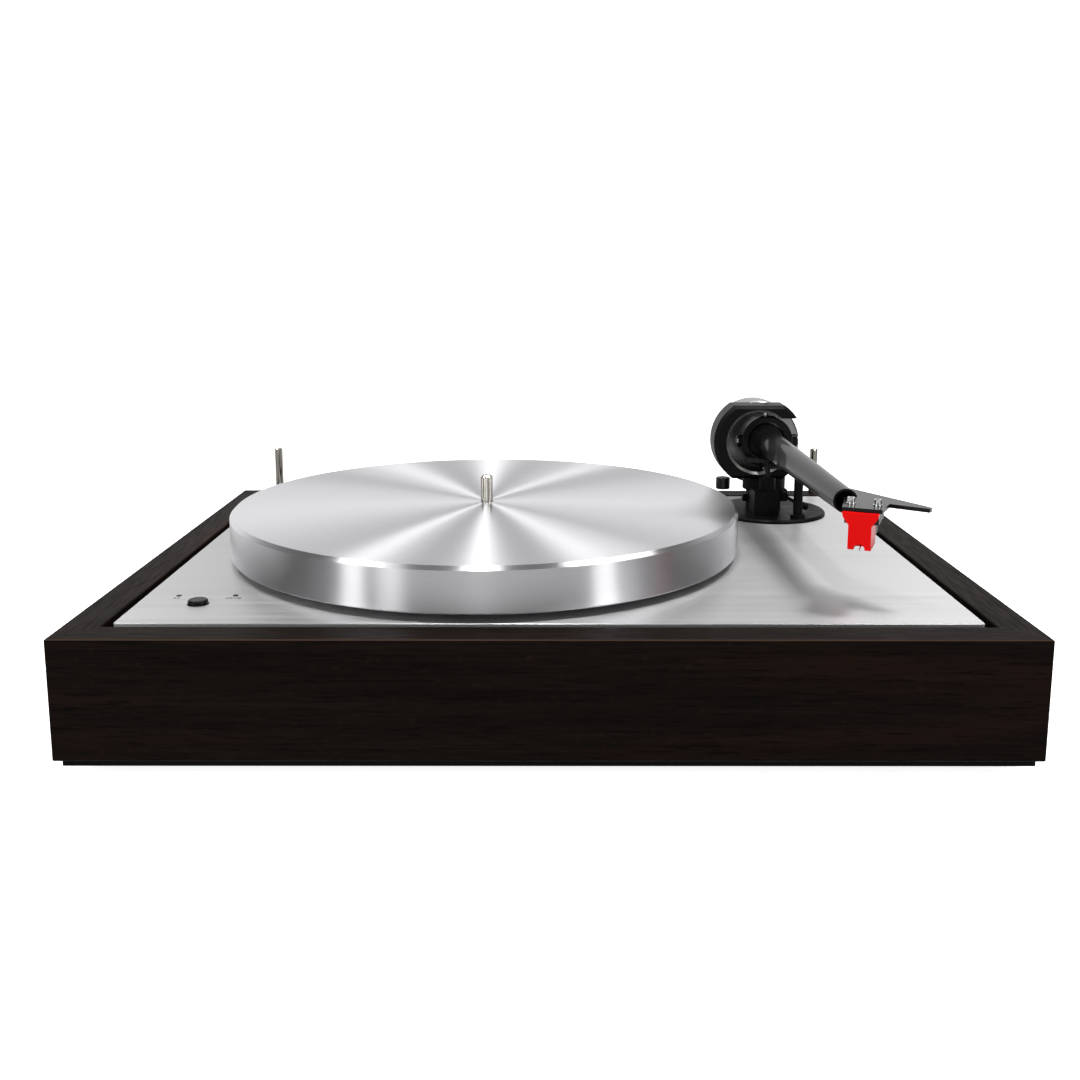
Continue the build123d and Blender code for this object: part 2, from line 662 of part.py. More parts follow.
with BuildPart() as socket_panel:
    block(facing_back(PANEL[0], BACK_Y - PANEL_T, PANEL[1]), PANEL_W, PANEL_H, PANEL_T)
    for x in PHONO_X:
        rod(facing_back(x, BACK_Y - PANEL_T, PANEL[1]), PHONO_R, PANEL_T, Mode.SUBTRACT)
    rod(facing_back(GROUND_X, BACK_Y - PANEL_T, PANEL[1]), GROUND_R, PANEL_T, Mode.SUBTRACT)
    rod(facing_back(POWER_X, BACK_Y - PANEL_T, PANEL[1]), POWER_R, PANEL_T, Mode.SUBTRACT)
    for x in PANEL_SCREWS:
        rod(facing_back(x, BACK_Y - PANEL_T, PANEL[1]), PANEL_SCREW_R, PANEL_T, Mode.SUBTRACT)
save(socket_panel.part, "socket_panel")

with BuildPart() as phono_sockets:
    for x in PHONO_X:
        rod(facing_back(x, TAIL_Y, PANEL[1]), PHONO_R, BACK_Y + SOCKET_REACH - TAIL_Y)
        rod(facing_back(x, BACK_Y, PANEL[1]), NUT_R, PANEL_HEAD_H)
        socket_floor = facing_back(x, BACK_Y - PHONO_DEPTH, PANEL[1])
        rod(socket_floor, PHONO_R - PHONO_WALL, BACK_Y, Mode.SUBTRACT)
save(phono_sockets.part, "phono_sockets")

with BuildPart() as phono_insulators:
    for x in PHONO_X:
        socket_floor = facing_back(x, BACK_Y - PHONO_DEPTH, PANEL[1])
        rod(socket_floor, PHONO_R - PHONO_WALL, PHONO_DEPTH + SOCKET_REACH - INSULATOR_DROP)
        rod(facing_back(x, BACK_Y - 4, PANEL[1]), PHONO_PIN_R, BACK_Y, Mode.SUBTRACT)
save(phono_insulators.part, "phono_insulators")

with BuildPart() as ground_post:
    rod(facing_back(GROUND_X, TAIL_Y, PANEL[1]), GROUND_R, BACK_Y + SOCKET_REACH - TAIL_Y)
    with BuildSketch(facing_back(GROUND_X, BACK_Y + THUMB_NUT_GAP, PANEL[1])) as thumb_nut:
        Circle(THUMB_NUT_R)
        with PolarLocations(THUMB_NUT_R, THUMB_RIBS):
            Circle(THUMB_RIB_R)
    extrude(thumb_nut.sketch, amount=THUMB_NUT_T)
save(ground_post.part, "ground_post")

with BuildPart() as power_socket:
    rod(facing_back(POWER_X, TAIL_Y, PANEL[1]), POWER_R, BACK_Y - TAIL_Y + POWER_PROUD)
    power_floor = facing_back(POWER_X, BACK_Y - POWER_DEPTH, PANEL[1])
    rod(power_floor, POWER_BORE_R, BACK_Y, Mode.SUBTRACT)
    rod(power_floor, POWER_PIN_R, POWER_PIN_L)
save(power_socket.part, "power_socket")

# ---------------------------------------------------------------- dust cover rods
with BuildPart() as lid_rods:
    for x in LID_ROD_X:
        rod(upright(x, LID_ROD_Y, RAIL_Z1 - LID_SPIGOT_H), LID_SPIGOT_R, LID_SPIGOT_H)
        rod(upright(x, LID_ROD_Y, RAIL_Z1), LID_ROD_R, LID_ROD_TOP - RAIL_Z1)
    chamfer(lid_rods.edges().group_by(Axis.Z)[-1], ARRIS)
    for x in LID_ROD_X:
        bore_plane = upright(x, LID_ROD_Y, LID_ROD_TOP - LID_BORE_DEPTH)
        rod(bore_plane, LID_BORE_R, LID_BORE_DEPTH, Mode.SUBTRACT)
save(lid_rods.part, "lid_rods")

# ---------------------------------------------------------------- tonearm base and pillar
BASE_Z1 = PLATE_Z1 + BASE_T
YOKE_Z = PIVOT[2]
NUT_T = 5.0

with BuildPart() as arm_base:
    rod(upright(*BASE_CENTRE, PLATE_Z1), BASE_R, BASE_T)
    chamfer(arm_base.edges().sort_by(Axis.Z)[-1], 1.0)
    rod(upright(PIVOT[0], PIVOT[1], PLATE_Z1), STEM_R, BASE_T, Mode.SUBTRACT)
    for x, y in ARM_SCREWS:
        rod(upright(x, y, PLATE_Z1), ARM_SCREW_R, BASE_T, Mode.SUBTRACT)
        rod(upright(x, y, BASE_Z1 - 1.4), 2.9, 2, Mode.SUBTRACT)
save(arm_base.part, "arm_base")

CLAMP_Z = 80.5
CLAMP_DEPTH = 7.0
CLAMP_HEAD = facing_right(PIVOT[0] - COLUMN_R - 2.4, PIVOT[1], CLAMP_Z)

with BuildPart() as arm_screws:
    for x, y in ARM_SCREWS:
        rod(upright(x, y, PLATE_Z0 - 9), ARM_SCREW_R, BASE_Z1 - 1.4 - PLATE_Z0 + 9)
        rod(upright(x, y, BASE_Z1 - 1.4), 2.8, 1.2)
        with BuildSketch(upright(x, y, BASE_Z1 - 1.0)) as socket:
            RegularPolygon(1.1, 6)
        extrude(socket.sketch, amount=2, mode=Mode.SUBTRACT)
    # the screw that clamps the pillar at its height
    rod(CLAMP_HEAD, 2.6, 2.4)
    rod(facing_right(PIVOT[0] - COLUMN_R, PIVOT[1], CLAMP_Z), 1.4, CLAMP_DEPTH)
    with BuildSketch(CLAMP_HEAD) as clamp_socket:
        RegularPolygon(1.3, 6)
    extrude(clamp_socket.sketch, amount=1.6, mode=Mode.SUBTRACT)
save(arm_screws.part, "arm_screws")

with BuildPart() as arm_pillar:
    rod(upright(PIVOT[0], PIVOT[1], CHASSIS_Z0 - NUT_T - 2), STEM_R, BASE_Z1 - CHASSIS_Z0 + NUT_T + 2)
    rod(upright(PIVOT[0], PIVOT[1], BASE_Z1), COLUMN_R, COLLAR_Z0 - BASE_Z1)
    rod(upright(PIVOT[0], PIVOT[1], COLLAR_Z0), COLLAR_R, YOKE_Z - YOKE_FLAT - COLLAR_Z0)
    rod(
        facing_right(PIVOT[0] - COLUMN_R - 1, PIVOT[1], CLAMP_Z),
        1.4,
        CLAMP_DEPTH + 1,
        Mode.SUBTRACT,
    )
save(arm_pillar.part, "arm_pillar")

with BuildPart() as pillar_nut:
    with BuildSketch(upright(PIVOT[0], PIVOT[1], CHASSIS_Z0 - NUT_T)):
        RegularPolygon(14, 6, major_radius=False)
        Circle(STEM_R, mode=Mode.SUBTRACT)
    extrude(amount=NUT_T)
save(pillar_nut.part, "pillar_nut")

# ---------------------------------------------------------------- fixed yoke
YOKE_FRONT = PIVOT[1] - YOKE_T / 2
PIN_INSET = 15.2
YOKE_BACK = PIVOT[1] + YOKE_T / 2
WIRE_R = 1.0
WIRE_IN = 4.0
WIRE_X = THREAD[0] + WIRE_R + THREAD_R

with BuildPart() as arm_yoke:
    with BuildSketch(facing_back(YOKE_X, YOKE_FRONT, YOKE_Z)) as outline:
        Circle(YOKE_R)
        Rectangle(4 * YOKE_R, 2 * YOKE_FLAT, mode=Mode.INTERSECT)
    extrude(outline.sketch, amount=YOKE_T)
    chamfer(arm_yoke.faces().sort_by(Axis.Y)[0].edges(), 2.2)
    chamfer(arm_yoke.faces().sort_by(Axis.Y)[-1].edges(), 0.8)
    rod(facing_back(YOKE_X, YOKE_FRONT, YOKE_Z), YOKE_OPEN_R, YOKE_T, Mode.SUBTRACT)
    with BuildSketch(facing_back(YOKE_X, YOKE_FRONT, YOKE_Z)) as slot:
        with BuildLine():
            Polyline(
                (0, YOKE_SLOT_TOP),
                (-2 * YOKE_R, YOKE_SLOT_TOP),
                (-2 * YOKE_R, -YOKE_SLOT_BOTTOM),
                (0, -YOKE_SLOT_BOTTOM),
                close=True,
            )
        make_face()
    extrude(slot.sketch, amount=YOKE_T, mode=Mode.SUBTRACT)
    inner_rim = arm_yoke.faces().sort_by(Axis.Y)[0].edges().filter_by(GeomType.CIRCLE)
    chamfer(inner_rim.sort_by(lambda rim: rim.radius)[0], 1.8)
    rod(upright(PIVOT[0], PIVOT[1], YOKE_Z - YOKE_FLAT), PIVOT_PIN_R, 2 * YOKE_FLAT, Mode.SUBTRACT)
    rod(facing_back(WIRE_X, YOKE_BACK - WIRE_IN, THREAD_Z - WIRE_R), WIRE_R, WIRE_IN, Mode.SUBTRACT)
save(arm_yoke.part, "arm_yoke")

with BuildPart() as yoke_pivots:
    for way in (-1, 1):
        middle = YOKE_Z + way * (YOKE_FLAT + PIN_INSET) / 2
        rod(
            upright(PIVOT[0], PIVOT[1], middle - (YOKE_FLAT - PIN_INSET) / 2),
            PIVOT_PIN_R,
            YOKE_FLAT - PIN_INSET - (0.3 if way > 0 else 0.0),
        )
save(yoke_pivots.part, "yoke_pivots")

# ---------------------------------------------------------------- turning gimbal
BOSS_R = 4.5
BOSS_RIGHT = 21.5
BOSS_LEFT = 19.0
SIDE_PIN_INSET = 10.4
SKATE_ROD_R = 1.2
SKATE_ROD_DROP = 15.2
SKATE_REACH = 16.1
SKATE_TAIL = 3.0
GIMBAL_FLAT = 16.1
EDGE_BREAK = 0.8
CAP_R = 3.0
CAP_T = 1.0

with BuildPart() as arm_gimbal:
    rod(arm_section(-GIMBAL_T / 2), GIMBAL_R, GIMBAL_T)
    chamfer(arm_gimbal.edges().filter_by(GeomType.CIRCLE), EDGE_BREAK)
    # a flat over the ring's back half, so that it clears the yoke as it turns
    flat_middle = Vector(*PIVOT) - ARM_AHEAD * GIMBAL_T / 2 + Vector(0, 0, GIMBAL_FLAT)
    flat_plane = Plane(origin=flat_middle, x_dir=ARM_RIGHT, z_dir=(0, 0, 1))
    block(flat_plane, 2 * GIMBAL_R, GIMBAL_T, GIMBAL_R - GIMBAL_FLAT, Mode.SUBTRACT)
    right_boss = Plane(origin=PIVOT, x_dir=(0, 0, 1), z_dir=ARM_RIGHT)
    left_boss = Plane(origin=PIVOT, x_dir=(0, 0, 1), z_dir=-ARM_RIGHT)
    rod(right_boss, BOSS_R, BOSS_RIGHT)
    rod(left_boss, BOSS_R, BOSS_LEFT)
    rod(arm_section(-GIMBAL_T), GIMBAL_IN_R, 2 * GIMBAL_T, Mode.SUBTRACT)
    rod(right_boss, PIVOT_PIN_R, 2 * BOSS_RIGHT, Mode.SUBTRACT)
    rod(left_boss, PIVOT_PIN_R, 2 * BOSS_LEFT, Mode.SUBTRACT)
    rod(upright(*PIVOT).offset(-YOKE_R), PIVOT_PIN_R + RUNNING, 2 * YOKE_R, Mode.SUBTRACT)
    # the grooved rod at the back that the anti-skate thread loops round
    rod(
        arm_section(-SKATE_REACH - SKATE_TAIL, 0, -SKATE_ROD_DROP),
        SKATE_ROD_R,
        SKATE_REACH + SKATE_TAIL - GIMBAL_T / 2,
    )
    for ahead in (-SKATE_REACH - 2.6, -SKATE_REACH + 0.6):
        rod(arm_section(ahead, 0, -SKATE_ROD_DROP), SKATE_ROD_R + 0.5, 0.9)
save(arm_gimbal.part, "arm_gimbal")

with BuildPart() as gimbal_pivots:
    for boss, boss_end in ((right_boss, BOSS_RIGHT), (left_boss, BOSS_LEFT)):
        rod(boss.offset(SIDE_PIN_INSET), PIVOT_PIN_R, boss_end - SIDE_PIN_INSET + CAP_T)
        rod(boss.offset(boss_end), CAP_R, CAP_T)
save(gimbal_pivots.part, "gimbal_pivots")

# ---------------------------------------------------------------- arm tube with its headshell
with BuildPart() as bearing_block:
    rod(arm_section(-BLOCK_T / 2), BLOCK_R, BLOCK_T)
    chamfer(bearing_block.edges().filter_by(GeomType.CIRCLE), EDGE_BREAK)
    rod(arm_section(BLOCK_T / 2), NECK_R, ARM_TUBE_START - BLOCK_T / 2)
    for boss in (right_boss, left_boss):
        rod(boss, PIVOT_PIN_R + RUNNING, 2 * BLOCK_R, Mode.SUBTRACT)
save(bearing_block.part, "bearing_block")

WING_FRONT = -10.2
WING_NOTCH = (11.4, 6.1)
LIFT_TIP_FRONT = (30.7, 1.9)
LIFT_TIP_BACK = (31.6, 5.6)
WING_ROOT = (-16.0, 41.7)
SHELL_LEFT = -9.2
SHELL_RIGHT_EDGE = 10.0

ARM_PROFILE = Plane(origin=PIVOT, x_dir=ARM_AHEAD, z_dir=-ARM_RIGHT)
ARM_AXIS = Axis(PIVOT, ARM_AHEAD)
HOLLOW_START = ARM_TUBE_START + 6

with BuildPart() as arm_tube:
    with BuildSketch(ARM_PROFILE) as half_tube:
        with BuildLine():
            Polyline(
                (ARM_TUBE_START, 0),
                (ARM_TUBE_START, TUBE_R0),
                (ARM_TUBE_END, TUBE_R1),
                (ARM_TUBE_END, 0),
                close=True,
            )
        make_face()
    revolve(half_tube.sketch, axis=ARM_AXIS)
    with BuildSketch(shell_plane()) as wing:
        with BuildLine():
            Polyline(
                (SHELL_LEFT, WING_FRONT),
                (SHELL_RIGHT_EDGE, WING_FRONT),
                WING_NOTCH,
                LIFT_TIP_FRONT,
                LIFT_TIP_BACK,
                WING_ROOT,
                (-14.0, 20.0),
                (-11.1, 9.0),
                close=True,
            )
        make_face()
        fillet(wing.vertices().group_by(Axis.X)[-1], 1.4)
    extrude(wing.sketch, amount=SHELL_T)
    # the hollow inside, with its open mouth beside the cartridge
    with BuildSketch(ARM_PROFILE) as half_hollow:
        with BuildLine():
            Polyline(
                (HOLLOW_START, 0),
                (HOLLOW_START, tube_radius(HOLLOW_START) - TUBE_WALL),
                (ARM_TUBE_END + 1, tube_radius(ARM_TUBE_END + 1) - TUBE_WALL),
                (ARM_TUBE_END + 1, 0),
                close=True,
            )
        make_face()
    revolve(half_hollow.sketch, axis=ARM_AXIS, mode=Mode.SUBTRACT)
    with BuildSketch(shell_plane()) as screw_holes:
        with Locations((-SCREW_PITCH / 2, 0), (SCREW_PITCH / 2, 0)):
            Circle(1.25)
    extrude(screw_holes.sketch, amount=SHELL_T, mode=Mode.SUBTRACT)
save(arm_tube.part, "arm_tube")

# ---------------------------------------------------------------- cartridge
BODY_FRONT = -8.0
BODY_BACK = 12.0
RED_FRONT = -13.0
RED_BACK = 4.0
SHOULDER = 6.3
TOP_HALF = 8.75
LOW_HALF = 5.5
RED_BOTTOM = 18.2


def shell_upright(back):
    """An upright plane across the cartridge, normal to its back."""
    middle = Vector(CARTRIDGE[0], CARTRIDGE[1], SHELL_Z0) + SHELL_BACK * back
    return Plane(origin=middle, x_dir=-SHELL_RIGHT, z_dir=SHELL_BACK)


with BuildPart() as cartridge_body:
    block(
        shell_plane(0, (BODY_FRONT + BODY_BACK) / 2, -SHOULDER),
        2 * TOP_HALF - 1,
        BODY_BACK - BODY_FRONT,
        SHOULDER,
    )
    block(shell_plane(0, (RED_BACK + BODY_BACK) / 2, -14), 11, BODY_BACK - RED_BACK, 14)
    with BuildSketch(shell_plane(0, 0, -SHOULDER)) as screw_holes:
        with Locations((-SCREW_PITCH / 2, 0), (SCREW_PITCH / 2, 0)):
            Circle(1.25)
    extrude(screw_holes.sketch, amount=SHOULDER, mode=Mode.SUBTRACT)
save(cartridge_body.part, "cartridge_body")

with BuildPart() as stylus_unit:
    with BuildSketch(shell_upright(RED_FRONT)) as fascia:
        with BuildLine():
            Polyline(
                (-TOP_HALF, 0),
                (TOP_HALF, 0),
                (TOP_HALF - 0.4, -2.2),
                (LOW_HALF, -SHOULDER),
                (-LOW_HALF, -SHOULDER),
                (-TOP_HALF + 0.4, -2.2),
                close=True,
            )
        make_face()
    extrude(fascia.sketch, amount=BODY_FRONT - RED_FRONT)
    block(
        shell_plane(0, (RED_FRONT + RED_BACK) / 2, -RED_BOTTOM),
        2 * LOW_HALF,
        RED_BACK - RED_FRONT,
        RED_BOTTOM - SHOULDER,
    )
    with BuildSketch(shell_upright(RED_FRONT - 1)) as notch:
        with BuildLine():
            Line((-2.6, -RED_BOTTOM - 1), (2.6, -RED_BOTTOM - 1))
            Line((2.6, -RED_BOTTOM - 1), (2.6, -RED_BOTTOM + 0.4))
            ThreePointArc(
                (2.6, -RED_BOTTOM + 0.4), (0, -RED_BOTTOM + 3.0), (-2.6, -RED_BOTTOM + 0.4)
            )
            Line((-2.6, -RED_BOTTOM + 0.4), (-2.6, -RED_BOTTOM - 1))
        make_face()
    extrude(notch.sketch, amount=9, mode=Mode.SUBTRACT)
save(stylus_unit.part, "stylus_unit")

with BuildPart() as cantilever:
    tip = Vector(0, -STYLUS_AHEAD, -STYLUS_DROP + 0.7)
    root = Vector(0, RED_FRONT + 8, -RED_BOTTOM + 1.6)
    middle = Vector(CARTRIDGE[0], CARTRIDGE[1], SHELL_Z0)
    tip_point = middle + SHELL_BACK * tip.Y + Vector(0, 0, tip.Z)
    root_point = middle + SHELL_BACK * root.Y + Vector(0, 0, root.Z)
    run = tip_point - root_point
    rod(Plane(origin=root_point, z_dir=run), 0.3, run.length)
    with BuildSketch(upright(tip_point.X, tip_point.Y, tip_point.Z - 0.7)) as point:
        Circle(0.08)
    with BuildSketch(upright(tip_point.X, tip_point.Y, tip_point.Z + 0.1)) as shank:
        Circle(0.22)
    loft([point.sketch, shank.sketch])
save(cantilever.part, "cantilever")

with BuildPart() as cartridge_screws:
    for side in (-1, 1):
        x = side * SCREW_PITCH / 2
        rod(shell_plane(x, 0, SHELL_T), 2.3, 0.5)
        rod(shell_plane(x, 0, SHELL_T + 0.5), 1.9, 2.6)
        rod(shell_plane(x, 0, -SHOULDER), 1.25, SHOULDER + SHELL_T)
        with BuildSketch(shell_plane(x, 0, SHELL_T + 1.7)) as socket:
            RegularPolygon(1.1, 6)
        extrude(socket.sketch, amount=2, mode=Mode.SUBTRACT)
save(cartridge_screws.part, "cartridge_screws")

PIN_SPOTS = [(x, z) for x in (-3.0, 3.0) for z in (-11.0, -7.6)]

with BuildPart() as cartridge_pins:
    for x, z in PIN_SPOTS:
        pin_root = (
            Vector(CARTRIDGE[0], CARTRIDGE[1], SHELL_Z0 + z) + SHELL_RIGHT * x + SHELL_BACK * BODY_BACK
        )
        rod(Plane(origin=pin_root, x_dir=SHELL_RIGHT, z_dir=SHELL_BACK), 0.55, 4)
save(cartridge_pins.part, "cartridge_pins")

# ---------------------------------------------------------------- counterweight
with BuildPart() as rear_stub:
    rod(arm_section(-STUB_END), STUB_R, STUB_END - BLOCK_T / 2)
    chamfer(rear_stub.edges().sort_by(Axis.Y)[-1], EDGE_BREAK)
save(rear_stub.part, "rear_stub")

with BuildPart() as counterweight:
    rod(arm_section(-WEIGHT_FRONT - WEIGHT_T, 0, -WEIGHT_DROP), WEIGHT_R, WEIGHT_T)
    chamfer(counterweight.edges().filter_by(GeomType.CIRCLE), WEIGHT_CHAMFER)
    rod(arm_section(-WEIGHT_FRONT - WEIGHT_T), SLEEVE_R, WEIGHT_T, Mode.SUBTRACT)
save(counterweight.part, "counterweight")

with BuildPart() as counterweight_insert:
    rod(arm_section(-WEIGHT_FRONT - WEIGHT_T), SLEEVE_R, WEIGHT_T)
    rod(arm_section(-WEIGHT_FRONT - WEIGHT_T), STUB_R + RUNNING, WEIGHT_T, Mode.SUBTRACT)
save(counterweight_insert.part, "counterweight_insert")

# ---------------------------------------------------------------- cueing lift
PLUNGER_R = 1.65
LIFT_BLOCK_FRONT = 70.0
LIFT_HALF_W = 8.3
LUG_FRONT = 79.2
HUB_R = 3.2
CUE_DROP = 25.0
CUE_REACH = 12.0

with BuildPart() as lift_block:
    with BuildSketch(upright(LIFT[0] - 1.2, (LIFT_BLOCK_FRONT + PIVOT[1]) / 2, BASE_Z1)) as plan:
        Rectangle(2 * LIFT_HALF_W, PIVOT[1] - LIFT_BLOCK_FRONT)
    extrude(plan.sketch, amount=LIFT_BLOCK_Z1 - BASE_Z1)
    block(
        upright(CUE_PIN[0] - 1.2, (LUG_FRONT + 86.0) / 2, CUE_PIN[1] - 4.5), 9.6, 86.0 - LUG_FRONT, 8.0
    )
    rod(upright(PIVOT[0], PIVOT[1], BASE_Z1), COLUMN_R, COLLAR_Z0 - BASE_Z1, Mode.SUBTRACT)
    rod(upright(PIVOT[0], PIVOT[1], COLLAR_Z0), COLLAR_R, 10, Mode.SUBTRACT)
    rod(upright(*LIFT, LIFT_BLOCK_Z1), 5.4, 8.5)
    rod(upright(*LIFT, BASE_Z1 + 4), PLUNGER_R + RUNNING, 40, Mode.SUBTRACT)
    rod(facing_front(CUE_PIN[0], LUG_FRONT, CUE_PIN[1]), CUE_PIN_R, 6.6)
save(lift_block.part, "lift_block")

with BuildPart() as lift_platform:
    rod(upright(*LIFT, BASE_Z1 + 5), PLUNGER_R, LIFT_ARC_Z0 - BASE_Z1 - 5)
    with BuildSketch(upright(PIVOT[0], PIVOT[1], LIFT_ARC_Z0)) as arc_bar:
        with BuildLine() as sweep_line:
            CenterArc((0, 0), LIFT_ARC_R, -90.0 - 50.0, 78.0)
        trace(sweep_line.line, line_width=LIFT_ARC_W)
    extrude(arc_bar.sketch, amount=LIFT_ARC_T)
save(lift_platform.part, "lift_platform")

drop = math.radians(CUE_DROP)
CUE_WAY = Vector(math.cos(drop), 0, -math.sin(drop))

with BuildPart() as cue_lever:
    rod(facing_front(CUE_PIN[0], LUG_FRONT - 0.2, CUE_PIN[1]), HUB_R, 5.6)
    hub_centre = Vector(CUE_PIN[0], LUG_FRONT - 3, CUE_PIN[1])
    rod(Plane(origin=hub_centre, x_dir=(0, 1, 0), z_dir=CUE_WAY), 1.2, CUE_REACH + 2)
    rod(Plane(origin=hub_centre + CUE_WAY * CUE_REACH, x_dir=(0, 1, 0), z_dir=CUE_WAY), 2.3, 7)
    fillet(cue_lever.edges().filter_by(GeomType.CIRCLE).sort_by(Axis.X)[-1], 1.0)
    rod(facing_front(CUE_PIN[0], LUG_FRONT, CUE_PIN[1]), CUE_PIN_R + RUNNING, 10, Mode.SUBTRACT)
save(cue_lever.part, "cue_lever")

# ---------------------------------------------------------------- arm rest
SADDLE_Z1 = 111.5
WALL_X = 160.4

with BuildPart() as arm_rest:
    rod(upright(*REST, BASE_Z1), 4.8, 2.5)
    rod(upright(*REST, BASE_Z1), 3.0, 108.0 - BASE_Z1)
    with BuildSketch(facing_back(0, REST[1] - 3, 0)) as clip:
        with BuildLine():
            Polyline(
                (-146.5, SADDLE_Z1 - 1.2),
                (-148.0, SADDLE_Z1),
                (-151.5, SADDLE_Z1),
                (-156.5, 113.2),
                (-WALL_X, 117.0),
                (-WALL_X, 118.0),
                (-(WALL_X + 2.2), 118.0),
                (-(WALL_X + 3.0), 114.0),
                (-(REST[0] + 3), 108.0),
                (-(REST[0] + 3), 104.5),
                (-(REST[0] - 3), 104.5),
                (-150.0, SADDLE_Z1 - 3.0),
                close=True,
            )
        make_face()
    extrude(clip.sketch, amount=6)
save(arm_rest.part, "arm_rest")

# ---------------------------------------------------------------- anti-skate
WIRE_OUT = 7.6

with BuildPart() as skate_wire:
    rod(facing_back(WIRE_X, YOKE_BACK - WIRE_IN, THREAD_Z - WIRE_R), WIRE_R, WIRE_IN + WIRE_OUT)
    with Locations((WIRE_X, YOKE_BACK + WIRE_OUT, THREAD_Z - WIRE_R)):
        Sphere(1.5)
save(skate_wire.part, "skate_wire")

with BuildPart() as skate_thread:
    rod(upright(*THREAD, SKATE_WEIGHT_Z[1]), THREAD_R, THREAD_Z - SKATE_WEIGHT_Z[1] - 0.6)
save(skate_thread.part, "skate_thread")

with BuildPart() as skate_weight:
    rod(upright(*THREAD, SKATE_WEIGHT_Z[0]), SKATE_WEIGHT_R, SKATE_WEIGHT_Z[1] - SKATE_WEIGHT_Z[0])
    fillet(skate_weight.edges().filter_by(GeomType.CIRCLE), 0.6)
save(skate_weight.part, "skate_weight")

# ---------------------------------------------------------------- wiring inside
LEAD_R = 1.6


def lead(points):
    """A lead along straight runs joined by arcs, each as large as its two runs allow."""
    spots = [Vector(*point) for point in points]
    radii = []
    for before, corner, after in zip(spots, spots[1:], spots[2:]):
        turn = math.radians((corner - before).get_angle(after - corner))
        shorter = min((corner - before).length, (after - corner).length)
        radii.append(0.45 * shorter / math.tan(turn / 2))
    with BuildLine() as route:
        FilletPolyline(*spots, radius=radii)
    start = Plane(origin=route.line @ 0, z_dir=route.line % 0)
    with BuildSketch(start) as ring:
        Circle(LEAD_R)
    sweep(ring.sketch, path=route.line)


STEM_END = CHASSIS_Z0 - NUT_T - 2
MOTOR_SIDE = MOTOR[0] - MOTOR_R
SOCKET_MOUTH = TAIL_Y - 8.0
LEAD_DROP = 9.0

with BuildPart() as inner_leads:
    # from the tonearm to the two phono sockets
    for side, x in zip((-1, 1), PHONO_X):
        lead(
            [
                (PIVOT[0] + 2 * side, PIVOT[1], STEM_END),
                (PIVOT[0] + 2 * side, PIVOT[1], 31),
                (x + 15, 118, 29),
                (x + 4, 137, 36),
                (x, SOCKET_MOUTH, PANEL[1]),
                (x, TAIL_Y, PANEL[1]),
            ]
        )
    # from the power socket round to the control board
    lead(
        [
            (POWER_X, TAIL_Y, PANEL[1]),
            (POWER_X, SOCKET_MOUTH, PANEL[1]),
            (166, 137, 30),
            (130, 131, 24.5),
            (80, 128, 25),
            (25, 131, 25),
            (-30, 129, 26),
            (-85, 131, 25),
            (-140, 129, 25),
            (-188, 126, 26),
            (-203, 90, 26),
            (-201, 40, 25),
            (-203, -10, 25),
            (-200, -60, 27),
            (-192, -92, 34),
            (-187, -110, CONTROL_Z - LEAD_DROP),
            (-187, -110, CONTROL_Z),
        ]
    )
    # from the control board to the motor
    lead(
        [
            (MOTOR_SIDE, MOTOR[1], 33),
            (MOTOR_SIDE - 7, MOTOR[1], 33),
            (-178, 46, 31),
            (-192, 20, 27),
            (-190, -25, 25),
            (-192, -65, 27),
            (-180, -93, 34),
            (-170, -112, CONTROL_Z - LEAD_DROP),
            (-170, -112, CONTROL_Z),
        ]
    )
save(inner_leads.part, "inner_leads")
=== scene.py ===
import bpy
import math
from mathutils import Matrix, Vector


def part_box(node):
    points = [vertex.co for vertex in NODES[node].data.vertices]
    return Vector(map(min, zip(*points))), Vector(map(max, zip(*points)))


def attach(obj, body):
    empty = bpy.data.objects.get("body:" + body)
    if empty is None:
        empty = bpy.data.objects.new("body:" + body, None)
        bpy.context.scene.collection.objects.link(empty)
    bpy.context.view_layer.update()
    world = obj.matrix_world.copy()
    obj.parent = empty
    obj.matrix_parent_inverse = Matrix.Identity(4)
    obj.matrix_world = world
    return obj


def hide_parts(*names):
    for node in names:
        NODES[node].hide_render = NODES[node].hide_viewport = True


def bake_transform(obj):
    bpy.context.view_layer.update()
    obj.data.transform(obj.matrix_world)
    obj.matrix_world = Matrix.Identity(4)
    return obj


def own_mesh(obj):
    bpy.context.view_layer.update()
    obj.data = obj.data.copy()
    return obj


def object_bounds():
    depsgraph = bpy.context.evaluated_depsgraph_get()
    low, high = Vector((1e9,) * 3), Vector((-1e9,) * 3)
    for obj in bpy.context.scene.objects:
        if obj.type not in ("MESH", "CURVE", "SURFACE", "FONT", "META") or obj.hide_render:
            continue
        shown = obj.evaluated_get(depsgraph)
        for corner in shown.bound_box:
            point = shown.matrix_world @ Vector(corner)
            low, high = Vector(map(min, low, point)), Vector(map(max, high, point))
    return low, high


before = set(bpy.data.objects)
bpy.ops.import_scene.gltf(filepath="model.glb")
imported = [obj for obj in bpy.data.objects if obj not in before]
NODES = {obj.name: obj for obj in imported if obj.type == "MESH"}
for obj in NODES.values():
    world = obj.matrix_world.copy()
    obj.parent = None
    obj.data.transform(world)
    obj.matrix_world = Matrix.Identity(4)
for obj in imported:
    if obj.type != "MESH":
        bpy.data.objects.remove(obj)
CAD_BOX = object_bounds()
MM = 0.001
TOWARDS_BACK = Vector((0.0, 1.0, 0.0))


# ------------------------------------------------------------------ places read from the frame
def centre_of(name):
    """The middle of a CAD node's box."""
    low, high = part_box(name)
    return (low + high) / 2


